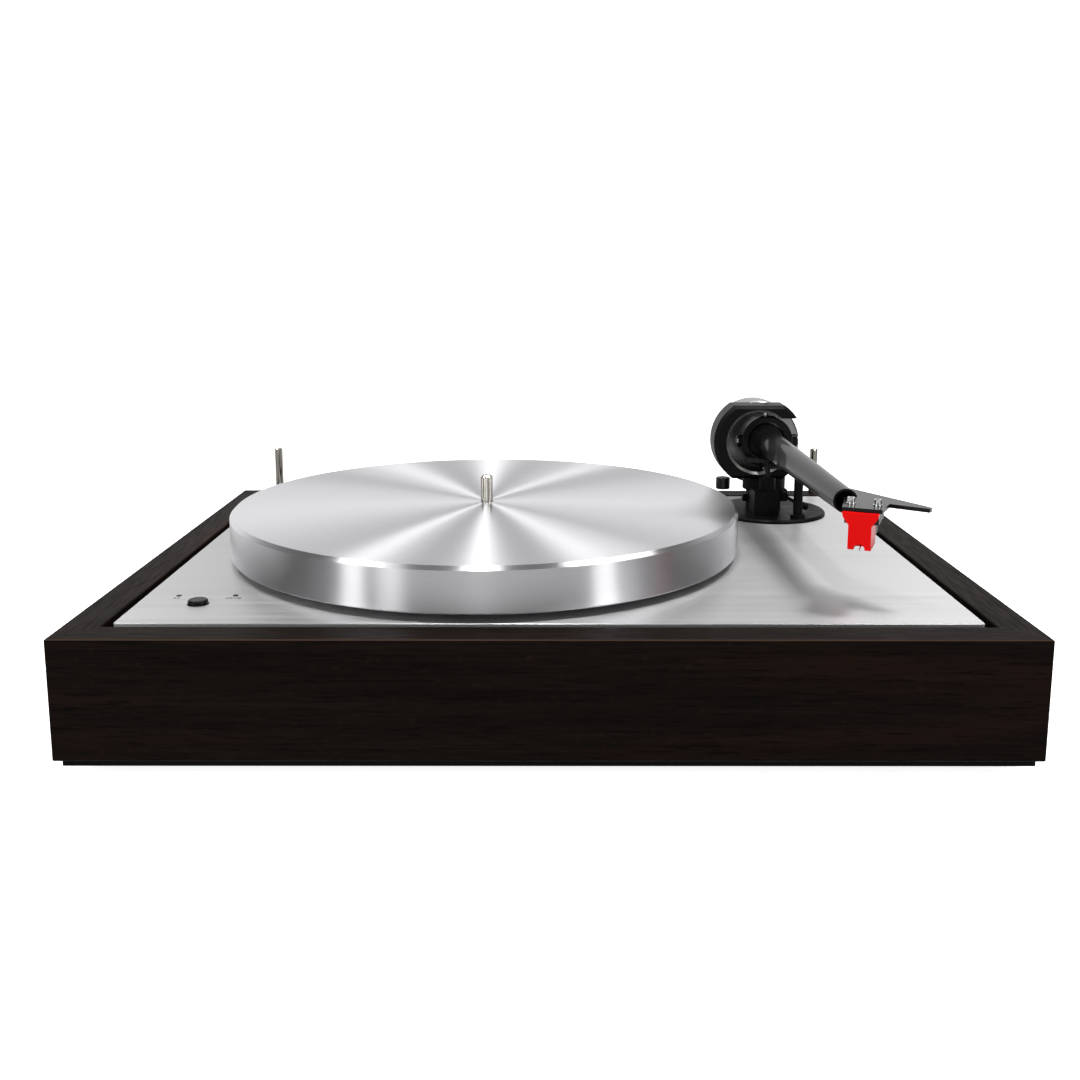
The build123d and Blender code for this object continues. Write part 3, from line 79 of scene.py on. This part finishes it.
PLATTER_MID = centre_of("platter")
PLATE_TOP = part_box("top_plate")[1].z
WOOD_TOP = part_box("plinth_front")[1].z
yoke_low, yoke_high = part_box("arm_yoke")
YOKE_MID_Z = (yoke_low.z + yoke_high.z) / 2


# ------------------------------------------------------------------ helpers for nodes
class Graph:
    """A node tree, with short calls for its nodes."""

    def __init__(self, tree):
        self.tree = tree

    def add(self, kind, **settings):
        made = self.tree.nodes.new(kind)
        for key, value in settings.items():
            setattr(made, key, value)
        return made

    def feed(self, socket, value):
        """Links an output to a socket, or sets the socket's own value."""
        if isinstance(value, bpy.types.NodeSocket):
            self.tree.links.new(value, socket)
        else:
            socket.default_value = value

    def math(self, operation, a, b=0.0, c=0.0):
        made = self.add("ShaderNodeMath", operation=operation)
        for socket, value in zip(made.inputs, (a, b, c)):
            self.feed(socket, value)
        return made.outputs[0]

    def average(self, a, b, share=0.5):
        """A mean of two values, with a share of the first."""
        return self.math("ADD", self.math("MULTIPLY", a, share), self.math("MULTIPLY", b, 1.0 - share))

    def vector(self, operation, a, b=(0.0, 0.0, 0.0)):
        made = self.add("ShaderNodeVectorMath", operation=operation)
        self.feed(made.inputs[0], a)
        self.feed(made.inputs[1], b)
        return made.outputs["Value" if operation == "LENGTH" else "Vector"]

    def parts(self, vector):
        made = self.add("ShaderNodeSeparateXYZ")
        self.feed(made.inputs[0], vector)
        return made.outputs

    def join(self, x, y, z):
        made = self.add("ShaderNodeCombineXYZ")
        for socket, value in zip(made.inputs, (x, y, z)):
            self.feed(socket, value)
        return made.outputs[0]

    def noise(self, vector, scale=1.0, detail=2.0, roughness=0.5, distortion=0.0):
        made = self.add("ShaderNodeTexNoise")
        self.feed(made.inputs["Vector"], vector)
        made.inputs["Scale"].default_value = scale
        made.inputs["Detail"].default_value = detail
        made.inputs["Roughness"].default_value = roughness
        made.inputs["Distortion"].default_value = distortion
        return made.outputs["Fac"]

    def span(self, value, low, high, out_low=0.0, out_high=1.0, smooth=False):
        """Maps low..high to out_low..out_high and keeps it there."""
        made = self.add("ShaderNodeMapRange", clamp=True)
        if smooth:
            made.interpolation_type = "SMOOTHSTEP"
        self.feed(made.inputs["Value"], value)
        for key, number in zip(("From Min", "From Max", "To Min", "To Max"), (low, high, out_low, out_high)):
            made.inputs[key].default_value = number
        return made.outputs["Result"]

    def blend(self, share, first, second):
        """A colour between two colours."""
        made = self.add("ShaderNodeMix", data_type="RGBA")
        self.feed(made.inputs["Factor"], share)
        colours = [socket for socket in made.inputs if socket.type == "RGBA"]
        for socket, value in zip(colours, (first, second)):
            if not isinstance(value, bpy.types.NodeSocket):
                value = (*value, 1.0)
            self.feed(socket, value)
        return [socket for socket in made.outputs if socket.type == "RGBA"][0]


class Paint(Graph):
    """One node material."""

    def __init__(self, name):
        self.material = bpy.data.materials.new(name)
        self.material.use_nodes = True
        super().__init__(self.material.node_tree)
        self.shader = self.tree.nodes["Principled BSDF"]
        self.place = self.add("ShaderNodeTexCoord").outputs["Object"]

    def set(self, **values):
        """Sets or links sockets of the main shader, written with underscores for spaces."""
        for key, value in values.items():
            socket = self.shader.inputs[key.replace("_", " ")]
            if socket.type == "RGBA" and not isinstance(value, bpy.types.NodeSocket):
                value = (*value, 1.0)
            self.feed(socket, value)

    def stretch(self, scale):
        """The place on the object scaled along each axis, in repeats per metre."""
        return self.vector("MULTIPLY", self.place, scale)

    def along(self, axis, with_grain, across):
        """The place scaled for a grain: few repeats along an axis and many across it."""
        scale = [across] * 3
        scale["XYZ".index(axis)] = with_grain
        return self.stretch(tuple(scale))

    def bump(self, height, depth_mm, strength):
        """Relief of a given depth."""
        made = self.add("ShaderNodeBump")
        made.inputs["Strength"].default_value = strength
        made.inputs["Distance"].default_value = depth_mm * MM
        self.feed(made.inputs["Height"], height)
        self.feed(self.shader.inputs["Normal"], made.outputs[0])

    def wear(self, *names):
        """Gives this material to CAD nodes."""
        for name in names:
            slots = NODES[name].data.materials
            slots.clear()
            slots.append(self.material)


# ------------------------------------------------------------------ wood
ARRIS = 0.5 * MM
WOOD_DARK = (0.0050, 0.0034, 0.0028)
WOOD_LIGHT = (0.0125, 0.0080, 0.0062)
WOOD_RED = (0.0200, 0.0086, 0.0056)
WOOD_FLECK = (0.023, 0.0120, 0.0082)
WOOD_PORE = (0.0022, 0.0016, 0.0014)
# lighter colour painted on the top arrises as a highlight
WOOD_ARRIS_HIGHLIGHT = (0.060, 0.036, 0.024)
ARRIS_HIGHLIGHT_SHARE = 0.8
WOOD_REFLECTANCE = 0.035


def veneer(name, axis):
    """Dark open-pored veneer with its grain along an axis, with a painted highlight along the top arrises of
    its front and sides.
    """
    p = Paint(name)
    pores = p.noise(p.along(axis, 55.0, 1000.0), detail=3.0, roughness=0.6, distortion=0.3)
    streaks = p.noise(p.along(axis, 5.0, 120.0), detail=5.0, roughness=0.65, distortion=0.5)
    bands = p.noise(p.along(axis, 3.5, 34.0), detail=3.0, distortion=0.8)
    flecks = p.noise(p.stretch((260.0, 420.0, 420.0)), detail=3.0)
    fibres = p.noise(p.along(axis, 16.0, 520.0), detail=4.0, roughness=0.7, distortion=0.4)
    ground = p.blend(p.span(p.average(streaks, fibres), 0.38, 0.64), WOOD_DARK, WOOD_LIGHT)
    warm = p.blend(p.span(bands, 0.50, 0.72, 0.0, 0.75), ground, WOOD_RED)
    dotted = p.blend(p.span(flecks, 0.58, 0.75, 0.0, 0.35), warm, WOOD_FLECK)
    cut = p.blend(p.span(pores, 0.34, 0.46, 0.75, 0.0), dotted, WOOD_PORE)
    x, y, z = p.parts(p.place)
    # painted highlight: the top arrises of the front and sides are coloured lighter
    at_side = p.math("GREATER_THAN", p.math("ABSOLUTE", x), CAD_BOX[1][0] - ARRIS)
    at_front = p.math("LESS_THAN", y, CAD_BOX[0][1] + ARRIS)
    at_top = p.math("GREATER_THAN", z, WOOD_TOP - ARRIS)
    at_highlit_arris = p.math("MULTIPLY", p.math("MAXIMUM", at_side, at_front), at_top)
    p.set(
        Base_Color=p.blend(p.math("MULTIPLY", at_highlit_arris, ARRIS_HIGHLIGHT_SHARE), cut, WOOD_ARRIS_HIGHLIGHT),
        Roughness=p.span(pores, 0.3, 0.6, 0.62, 0.46),
        Specular_IOR_Level=WOOD_REFLECTANCE,
    )
    p.bump(pores, 0.05, 0.55)
    return p


veneer("veneer_along_x", "X").wear("plinth_front", "plinth_back")
veneer("veneer_along_y", "Y").wear("plinth_left", "plinth_right")


# ------------------------------------------------------------------ metals
RING_MARKS = 5200.0
COARSE_MARKS = RING_MARKS / 9.0


def turned(name, colour, second, roughness, anisotropic):
    """Metal turned about the platter's axis: fine rings that spread the light across them."""
    p = Paint(name)
    x, y, height = p.parts(p.vector("SUBTRACT", p.place, (PLATTER_MID.x, PLATTER_MID.y, 0.0)))
    radius = p.vector("LENGTH", p.join(x, y, 0.0))
    angle = p.math("ARCTAN2", y, x)
    round_way = p.vector("NORMALIZE", p.join(p.math("MULTIPLY", y, -1.0), x, 0.0))
    normal = p.add("ShaderNodeNewGeometry").outputs["Normal"]

    def marks(count, turns, detail, rough):
        repeats = ((radius, count), (height, count), (angle, turns))
        at = p.join(*[p.math("MULTIPLY", value, number) for value, number in repeats])
        return p.noise(at, detail=detail, roughness=rough)

    rings = marks(RING_MARKS, 2.0, 3.0, 0.7)
    coarse = marks(COARSE_MARKS, 1.2, 2.0, 0.5)
    p.set(
        Metallic=1.0,
        Base_Color=p.blend(p.span(rings, 0.25, 0.75), colour, second),
        Roughness=p.span(coarse, 0.3, 0.7, roughness * 0.97, roughness * 1.03),
        Anisotropic=anisotropic,
        Tangent=p.vector("CROSS_PRODUCT", round_way, normal),
    )
    p.bump(rings, 0.004, 0.18)
    return p


turned("platter_turned", (0.71, 0.71, 0.73), (0.79, 0.79, 0.81), 0.29, 1.0).wear("platter")
turned("sub_platter_turned", (0.55, 0.55, 0.56), (0.66, 0.66, 0.67), 0.4, 0.6).wear(
    "sub_platter", "bearing_housing", "pulley"
)


def brushed_plate():
    """The top plate, brushed from side to side."""
    p = Paint("plate_brushed")
    hairs = p.noise(p.along("X", 22.0, 4500.0), detail=3.0, roughness=0.65)
    bands = p.noise(p.along("X", 4.0, 700.0), detail=3.0)
    normal = p.add("ShaderNodeNewGeometry").outputs["Normal"]
    mixed = p.average(hairs, bands, 0.6)
    roughness = 0.44
    p.set(
        Metallic=1.0,
        Base_Color=p.blend(p.span(mixed, 0.35, 0.65), (0.50, 0.50, 0.505), (0.59, 0.59, 0.595)),
        Roughness=p.span(bands, 0.3, 0.7, roughness * 0.92, roughness * 1.08),
        Anisotropic=0.8,
        Tangent=p.vector("NORMALIZE", p.vector("CROSS_PRODUCT", (1.0, 0.0, 0.0), normal)),
    )
    p.bump(hairs, 0.004, 0.4)
    return p


brushed_plate().wear("top_plate")


def polished(name, colour, roughness, size):
    """Plated or polished metal with faint clouding and hair scratches."""
    p = Paint(name)
    cloud = p.noise(p.place, scale=size, detail=4.0, roughness=0.6)
    hair = p.noise(p.along("Z", 160.0, 2500.0))
    dull = tuple(0.86 * part for part in colour)
    p.set(
        Metallic=1.0,
        Base_Color=p.blend(p.span(cloud, 0.3, 0.7), colour, dull),
        Roughness=p.span(hair, 0.3, 0.75, roughness * 0.7, roughness * 1.5),
    )
    p.bump(hair, 0.002, 0.3)
    return p


STEEL_NODES = ["spindle", "lid_rods", "motor_shaft", "thrust_ball"]

# name, colour, roughness, size of the clouding per metre, nodes
POLISHED = [
    ("polished_steel", (0.46, 0.44, 0.39), 0.10, 220.0, STEEL_NODES),
    ("chrome_screw", (0.86, 0.86, 0.87), 0.10, 500.0, ["cartridge_screws"]),
    ("zinc_screw", (0.55, 0.55, 0.53), 0.30, 600.0, ["case_screws", "motor_screws", "pillar_nut"]),
    ("pivot_steel", (0.58, 0.58, 0.60), 0.16, 600.0, ["yoke_pivots", "gimbal_pivots"]),
    ("gold_plate", (0.86, 0.62, 0.26), 0.14, 400.0, ["phono_sockets", "ground_post", "cartridge_pins"]),
    ("bronze", (0.52, 0.34, 0.18), 0.34, 400.0, ["bearing_bush"]),
    ("stylus_metal", (0.72, 0.72, 0.74), 0.15, 900.0, ["cantilever"]),
    ("wire_steel", (0.30, 0.30, 0.31), 0.16, 500.0, ["skate_wire"]),
]
for name, colour, roughness, size, names in POLISHED:
    polished(name, colour, roughness, size).wear(*names)


# ------------------------------------------------------------------ coats, rubber and plastic
def grainy(name, colour, second, size, roughness, spread, relief, reflectance):
    """A moulded, painted or coated surface: two close colours, uneven gloss and a fine skin."""
    p = Paint(name)
    skin = p.noise(p.place, scale=size, detail=4.0, roughness=0.6)
    patches = p.noise(p.place, scale=size / 14.0, detail=3.0)
    p.set(
        Base_Color=p.blend(p.span(p.average(skin, patches), 0.35, 0.65), colour, second),
        Roughness=p.span(patches, 0.3, 0.7, roughness - spread / 2, roughness + spread / 2),
        Specular_IOR_Level=reflectance,
    )
    p.bump(skin, relief, 0.5)
    return p


def greys(dark, light):
    """Two neutral colours."""
    return (dark, dark, dark), (light, light, light)


PLAIN = 0.5
RED = (1.0, 0.003, 0.003)
RED_DEEP = (0.93, 0.002, 0.002)
BOARD_NODES = ["bottom_board", "sub_chassis"]
RUBBER_NODES = [
    "feet", "isolator_balls", "motor_grommets", "platter_damping_ring", "drive_belt", "inner_leads"
]
ARM_NODES = ["arm_base", "arm_pillar", "lift_block", "arm_rest", "cue_lever", "arm_screws"]

# name, two colours, size of the skin per metre, roughness and its spread, relief in mm, reflectance, nodes
COATS = [
    ("board_black", *greys(0.002, 0.004), 700.0, 0.75, 0.1, 0.05, 0.1, BOARD_NODES),
    ("foot_rubber", *greys(0.010, 0.020), 1200.0, 0.7, 0.1, 0.03, PLAIN, RUBBER_NODES),
    ("foot_pad", (0.025, 0.024, 0.024), (0.045, 0.043, 0.042), 2500.0, 0.95, 0.05, 0.06, PLAIN,
     ["foot_pads"]),
    ("motor_steel", (0.020, 0.020, 0.022), (0.032, 0.032, 0.034), 800.0, 0.4, 0.1, 0.01, PLAIN,
     ["motor_plate", "motor_body"]),
    ("circuit_board", (0.010, 0.045, 0.018), (0.016, 0.065, 0.028), 400.0, 0.35, 0.1, 0.01, PLAIN,
     ["control_board"]),
    ("panel_coat", *greys(0.010, 0.017), 1500.0, 0.5, 0.1, 0.03, PLAIN, ["socket_panel"]),
    ("insulator", *greys(0.012, 0.02), 900.0, 0.45, 0.1, 0.01, PLAIN, ["phono_insulators", "power_socket"]),
    ("black_anodised", (0.0034, 0.0034, 0.0036), (0.0062, 0.0062, 0.0065), 1800.0, 0.42, 0.10, 0.006, 0.06,
     ARM_NODES),
    ("gimbal_gloss", (0.0030, 0.0030, 0.0032), (0.0048, 0.0048, 0.0052), 1500.0, 0.20, 0.06, 0.003, 0.18,
     ["arm_gimbal", "bearing_block"]),
    ("platform_rubber", *greys(0.006, 0.011), 1500.0, 0.62, 0.1, 0.02, 0.20, ["lift_platform"]),
    ("weight_sleeve", *greys(0.010, 0.017), 1500.0, 0.5, 0.1, 0.01, PLAIN, ["counterweight_insert"]),
    ("weight_black", (0.0060, 0.0060, 0.0062), (0.010, 0.010, 0.0105), 1500.0, 0.3, 0.1, 0.004, PLAIN,
     ["skate_weight", "rear_stub"]),
    ("cartridge_black", *greys(0.008, 0.014), 1300.0, 0.38, 0.1, 0.01, PLAIN, ["cartridge_body"]),
    ("cartridge_red", RED, RED_DEEP, 900.0, 0.22, 0.06, 0.003, 0.12, ["stylus_unit"]),
    ("button_gloss", *greys(0.0030, 0.0055), 900.0, 0.26, 0.06, 0.002, 0.12, ["speed_button"]),
    ("lamp_lens", (0.012, 0.008, 0.008), (0.020, 0.012, 0.012), 1200.0, 0.16, 0.04, 0.002, 0.25, ["lamps"]),
]
for *look, names in COATS:
    grainy(*look).wear(*names)
THREAD_PAINT = grainy("thread_nylon", (0.10, 0.10, 0.11), (0.18, 0.18, 0.19), 3000.0, 0.5, 0.1, 0.004, PLAIN)
PRINT = grainy("printed_grey", (0.030, 0.030, 0.032), (0.045, 0.045, 0.047), 2500.0, 0.55, 0.1, 0.002, PLAIN)


def coated_tube():
    """The arm: black fibre under clear lacquer, with a hint of its wrap."""
    p = Paint("arm_lacquer")
    weave = p.noise(p.along("Y", 500.0, 1400.0), detail=3.0, roughness=0.6)
    orange_peel = p.noise(p.place, scale=420.0)
    p.set(
        Base_Color=p.blend(p.span(weave, 0.35, 0.65), (0.0050, 0.0046, 0.0052), (0.0078, 0.0071, 0.0080)),
        Roughness=p.span(weave, 0.3, 0.7, 0.27, 0.31),
        Specular_IOR_Level=0.10,
        Coat_Weight=0.32,
        Coat_Roughness=0.03,
    )
    p.bump(orange_peel, 0.004, 0.25)
    return p


coated_tube().wear("arm_tube")

YOKE_R = 30.5 * MM
BEVEL_R = 22.27 * MM
BEVEL_D = 1.78 * MM


def yoke_paint():
    """Black satin metal whose bevel round the opening is cut bright."""
    p = Paint("yoke_satin")
    opening = (yoke_low.x + YOKE_R, yoke_low.y, YOKE_MID_Z)
    x, depth, z = p.parts(p.vector("SUBTRACT", p.place, opening))
    radius = p.vector("LENGTH", p.join(x, 0.0, z))
    bevel = p.math("MULTIPLY", p.math("LESS_THAN", radius, BEVEL_R), p.math("LESS_THAN", depth, BEVEL_D))
    skin = p.noise(p.place, scale=1700.0, detail=4.0, roughness=0.6)
    patches = p.noise(p.place, scale=150.0, detail=3.0)
    satin = p.blend(p.span(skin, 0.35, 0.65), (0.0036, 0.0034, 0.0034), (0.0064, 0.0061, 0.0061))
    cut = p.blend(p.span(skin, 0.35, 0.65), (0.90, 0.88, 0.84), (0.97, 0.95, 0.92))
    p.set(
        Base_Color=p.blend(bevel, satin, cut),
        Metallic=bevel,
        Roughness=p.span(patches, 0.3, 0.7, 0.36, 0.44),
        Specular_IOR_Level=0.10,
    )
    p.bump(skin, 0.006, 0.5)
    return p


yoke_paint().wear("arm_yoke")

WEIGHT_MARKS = 3800.0


def weight_metal():
    """The counterweight: turned about the arm's axis, satin with bright marks."""
    p = Paint("weight_turned")
    middle = centre_of("counterweight")
    x, y, z = p.parts(p.vector("SUBTRACT", p.place, (middle.x, 0.0, middle.z)))
    radius = p.vector("LENGTH", p.join(x, 0.0, z))
    marks_at = p.join(p.math("MULTIPLY", radius, WEIGHT_MARKS), p.math("MULTIPLY", y, WEIGHT_MARKS), 0.0)
    marks = p.noise(marks_at, detail=3.0, roughness=0.7)
    p.set(
        Metallic=1.0,
        Base_Color=p.blend(p.span(marks, 0.3, 0.7), (0.30, 0.29, 0.29), (0.40, 0.39, 0.39)),
        Roughness=p.span(marks, 0.3, 0.7, 0.24, 0.34),
    )
    p.bump(marks, 0.003, 0.4)
    return p


weight_metal().wear("counterweight")


# ------------------------------------------------------------------ the anti-skate thread
THREAD_R = 0.12 * MM
ROD_DROP = 15.2 * MM
ROD_R = 1.2 * MM
WIRE_R = 1.0 * MM
RUN_STEPS = 24
SIDES = 8


def link(name, data):
    """A new object in the scene."""
    made = bpy.data.objects.new(name, data)
    bpy.context.scene.collection.objects.link(made)
    return made


def thread_piece(name, points):
    """A thread of even thickness along points that lie in one upright plane facing the front."""
    vertices, faces = [], []
    count = len(points)
    for at, point in enumerate(points):
        way = (points[min(at + 1, count - 1)] - points[max(at - 1, 0)]).normalized()
        other = way.cross(TOWARDS_BACK)
        for k in range(SIDES):
            turn = 2 * math.pi * k / SIDES
            vertices.append(point + THREAD_R * (math.cos(turn) * TOWARDS_BACK + math.sin(turn) * other))
    for at in range(count - 1):
        for k in range(SIDES):
            after = (k + 1) % SIDES
            low, high = at * SIDES, (at + 1) * SIDES
            faces.append((low + k, low + after, high + after, high + k))
    faces.append(tuple(reversed(range(SIDES))))
    faces.append(tuple((count - 1) * SIDES + k for k in range(SIDES)))
    mesh = bpy.data.meshes.new(name)
    mesh.from_pydata([tuple(v) for v in vertices], [], faces)
    mesh.validate()
    for face in mesh.polygons[:-2]:
        face.use_smooth = True
    mesh.materials.append(THREAD_PAINT.material)
    made = link(name, mesh)
    return made


def arc(middle, radius, start, end, steps):
    """Points round a middle in the upright plane that faces the front, from one angle to another."""
    spots = []
    for k in range(steps + 1):
        turn = math.radians(start + (end - start) * k / steps)
        spots.append(middle + radius * Vector((math.cos(turn), 0.0, math.sin(turn))))
    return spots


thread_low, thread_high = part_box("skate_thread")
thread_mid = centre_of("skate_thread")
fall_top = Vector((thread_mid.x, thread_mid.y, thread_high.z))
fall_foot = Vector((thread_mid.x, thread_mid.y, thread_low.z))
fall = thread_piece("thread_fall", [fall_foot.lerp(fall_top, k / RUN_STEPS) for k in range(RUN_STEPS + 1)])
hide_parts("skate_thread")
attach(fall, "base")
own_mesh(fall)

wire_mid = centre_of("skate_wire")
wire_axis = Vector((wire_mid.x, thread_mid.y, wire_mid.z))
rod_axis = Vector((centre_of("yoke_pivots").x, thread_mid.y, YOKE_MID_Z - ROD_DROP))
over_wire = arc(wire_axis, WIRE_R + THREAD_R, 160.0, 90.0, 6)
round_rod = arc(rod_axis, ROD_R + THREAD_R, 90.0, -90.0, 10)
straight = [over_wire[-1].lerp(round_rod[0], k / RUN_STEPS) for k in range(1, RUN_STEPS)]
run = thread_piece("thread_run", over_wire + straight + round_rod)
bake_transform(run)


# ------------------------------------------------------------------ generic speed numbers
LAMP_R = 1.5 * MM
LABEL_DROP = 4.3 * MM
NUMBER_H = 3.6 * MM
PRINT_T = 0.02 * MM
lamp_low, lamp_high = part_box("lamps")


def numbers(name, text, x):
    """Small printed numbers that lie on the top plate, in front of a lamp."""
    curve = bpy.data.curves.new(name, "FONT")
    curve.body = text
    curve.size = NUMBER_H
    curve.align_x = "CENTER"
    curve.align_y = "CENTER"
    curve.extrude = PRINT_T
    curve.resolution_u = 4
    curve.materials.append(PRINT.material)
    made = link(name, curve)
    made.location = (x, lamp_low.y + LAMP_R - LABEL_DROP, PLATE_TOP + PRINT_T)
    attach(made, "base")


numbers("speed_33", "33", lamp_low.x + LAMP_R)
numbers("speed_45_78", "45/78", lamp_high.x - LAMP_R)


# ------------------------------------------------------------------ floor and light
WHITE = (1.0, 1.0, 1.0)
FLOOR_HALF = 6.0
FLOOR_GLOW = 0.86


def floor():
    """A pale floor that only the camera sees: the world gives the light and the reflections."""
    mesh = bpy.data.meshes.new("studio_floor")
    corners = [(-1, -1), (1, -1), (1, 1), (-1, 1)]
    mesh.from_pydata([(x * FLOOR_HALF, y * FLOOR_HALF, 0) for x, y in corners], [], [(0, 1, 2, 3)])
    made = link("studio_floor", mesh)
    p = Paint("studio_floor")
    cloud = p.noise(p.place, scale=3.0)
    p.set(
        Base_Color=p.blend(p.span(cloud, 0.3, 0.7), (0.86, 0.86, 0.87), (0.88, 0.88, 0.88)),
        Roughness=0.9,
        Emission_Color=WHITE,
        Emission_Strength=FLOOR_GLOW,
    )
    mesh.materials.append(p.material)
    made.visible_glossy = False
    made.visible_diffuse = False


floor()

DARK_ROOM = 0.12
FRONT_FILL = 0.45
WHITE_BACKDROP = 0.9
SEEN_WHITE = 1.05
TABLE_SHIFT = 0.55


def studio_world():
    """White all round for the camera; for light and reflections, a white backdrop behind and a dim room."""
    world = bpy.data.worlds.new("studio")
    bpy.context.scene.world = world
    world.use_nodes = True
    world.node_tree.nodes.clear()
    g = Graph(world.node_tree)
    way = g.parts(g.add("ShaderNodeTexCoord").outputs["Generated"])
    table = g.span(way["Z"], 0.02, -0.10, 0.0, TABLE_SHIFT)
    back = g.span(g.math("ADD", way["Y"], table), 0.35, 0.75, smooth=True)
    low = g.span(way["Z"], 0.55, 0.78, 1.0, 0.0, smooth=True)
    level = g.span(g.math("MULTIPLY", back, low), 0.0, 1.0, DARK_ROOM, WHITE_BACKDROP)
    front = g.span(way["Y"], -0.15, -0.65, 0.0, FRONT_FILL, smooth=True)
    shades = []
    for strength in (g.math("MULTIPLY_ADD", front, low, level), SEEN_WHITE):
        shade = g.add("ShaderNodeBackground")
        g.feed(shade.inputs["Color"], (*WHITE, 1.0))
        g.feed(shade.inputs["Strength"], strength)
        shades.append(shade.outputs[0])
    mix = g.add("ShaderNodeMixShader")
    seen = g.add("ShaderNodeLightPath").outputs["Is Camera Ray"]
    for socket, value in zip(mix.inputs, (seen, *shades)):
        g.feed(socket, value)
    g.feed(g.add("ShaderNodeOutputWorld").inputs["Surface"], mix.outputs[0])


studio_world()


def softbox(name, way, distance, width, length, power):
    """A flat light that looks at the platter from a direction."""
    data = bpy.data.lights.new(name, "AREA")
    data.shape = "RECTANGLE"
    data.size = width
    data.size_y = length
    data.energy = power
    made = link(name, data)
    way = Vector(way).normalized()
    made.location = PLATTER_MID + way * distance
    made.rotation_euler = way.to_track_quat("Z", "Y").to_euler()


# name, direction from the platter, distance, width, length, watts
SOFTBOXES = [
    ("left_box", (-0.515, 0.025, 0.86), 1.7, 0.22, 0.30, 7.4),
    ("right_box", (0.43, -0.02, 0.90), 1.7, 0.24, 0.34, 7.6),
    ("right_strip", (0.553, 0.145, 0.821), 1.7, 0.07, 0.5, 4.2),
    ("overhead", (-0.02, -0.21, 0.977), 1.8, 0.16, 0.5, 13.0),
    ("front_left_high", (-0.56, -0.72, 0.42), 1.8, 0.30, 0.45, 5.0),
    ("right_low", (0.765, -0.30, 0.57), 1.8, 0.20, 0.40, 2.2),
    ("front_left", (-0.78, -0.60, 0.18), 1.8, 0.30, 0.5, 3.4),
    ("front_right", (0.77, -0.62, 0.18), 1.8, 0.30, 0.5, 3.4),
]
for box in SOFTBOXES:
    softbox(*box)

# ------------------------------------------------------------------ camera
CAMERA_AT = (-0.00199, -0.66373, 0.23887)
CAMERA_TURN = (80.608, -0.0753, -0.096)
CAMERA_LENS = 37.17
CAMERA_SENSOR = 36.0
CAMERA_SHIFT = (-0.00704, -0.08226)

view = bpy.data.cameras.new("view")
view.sensor_width = CAMERA_SENSOR
view.lens = CAMERA_LENS
view.shift_x, view.shift_y = CAMERA_SHIFT
camera = link("view", view)
camera.location = CAMERA_AT
camera.rotation_euler = [math.radians(angle) for angle in CAMERA_TURN]
bpy.context.scene.camera = camera
bpy.context.scene.view_settings.view_transform = "Standard"
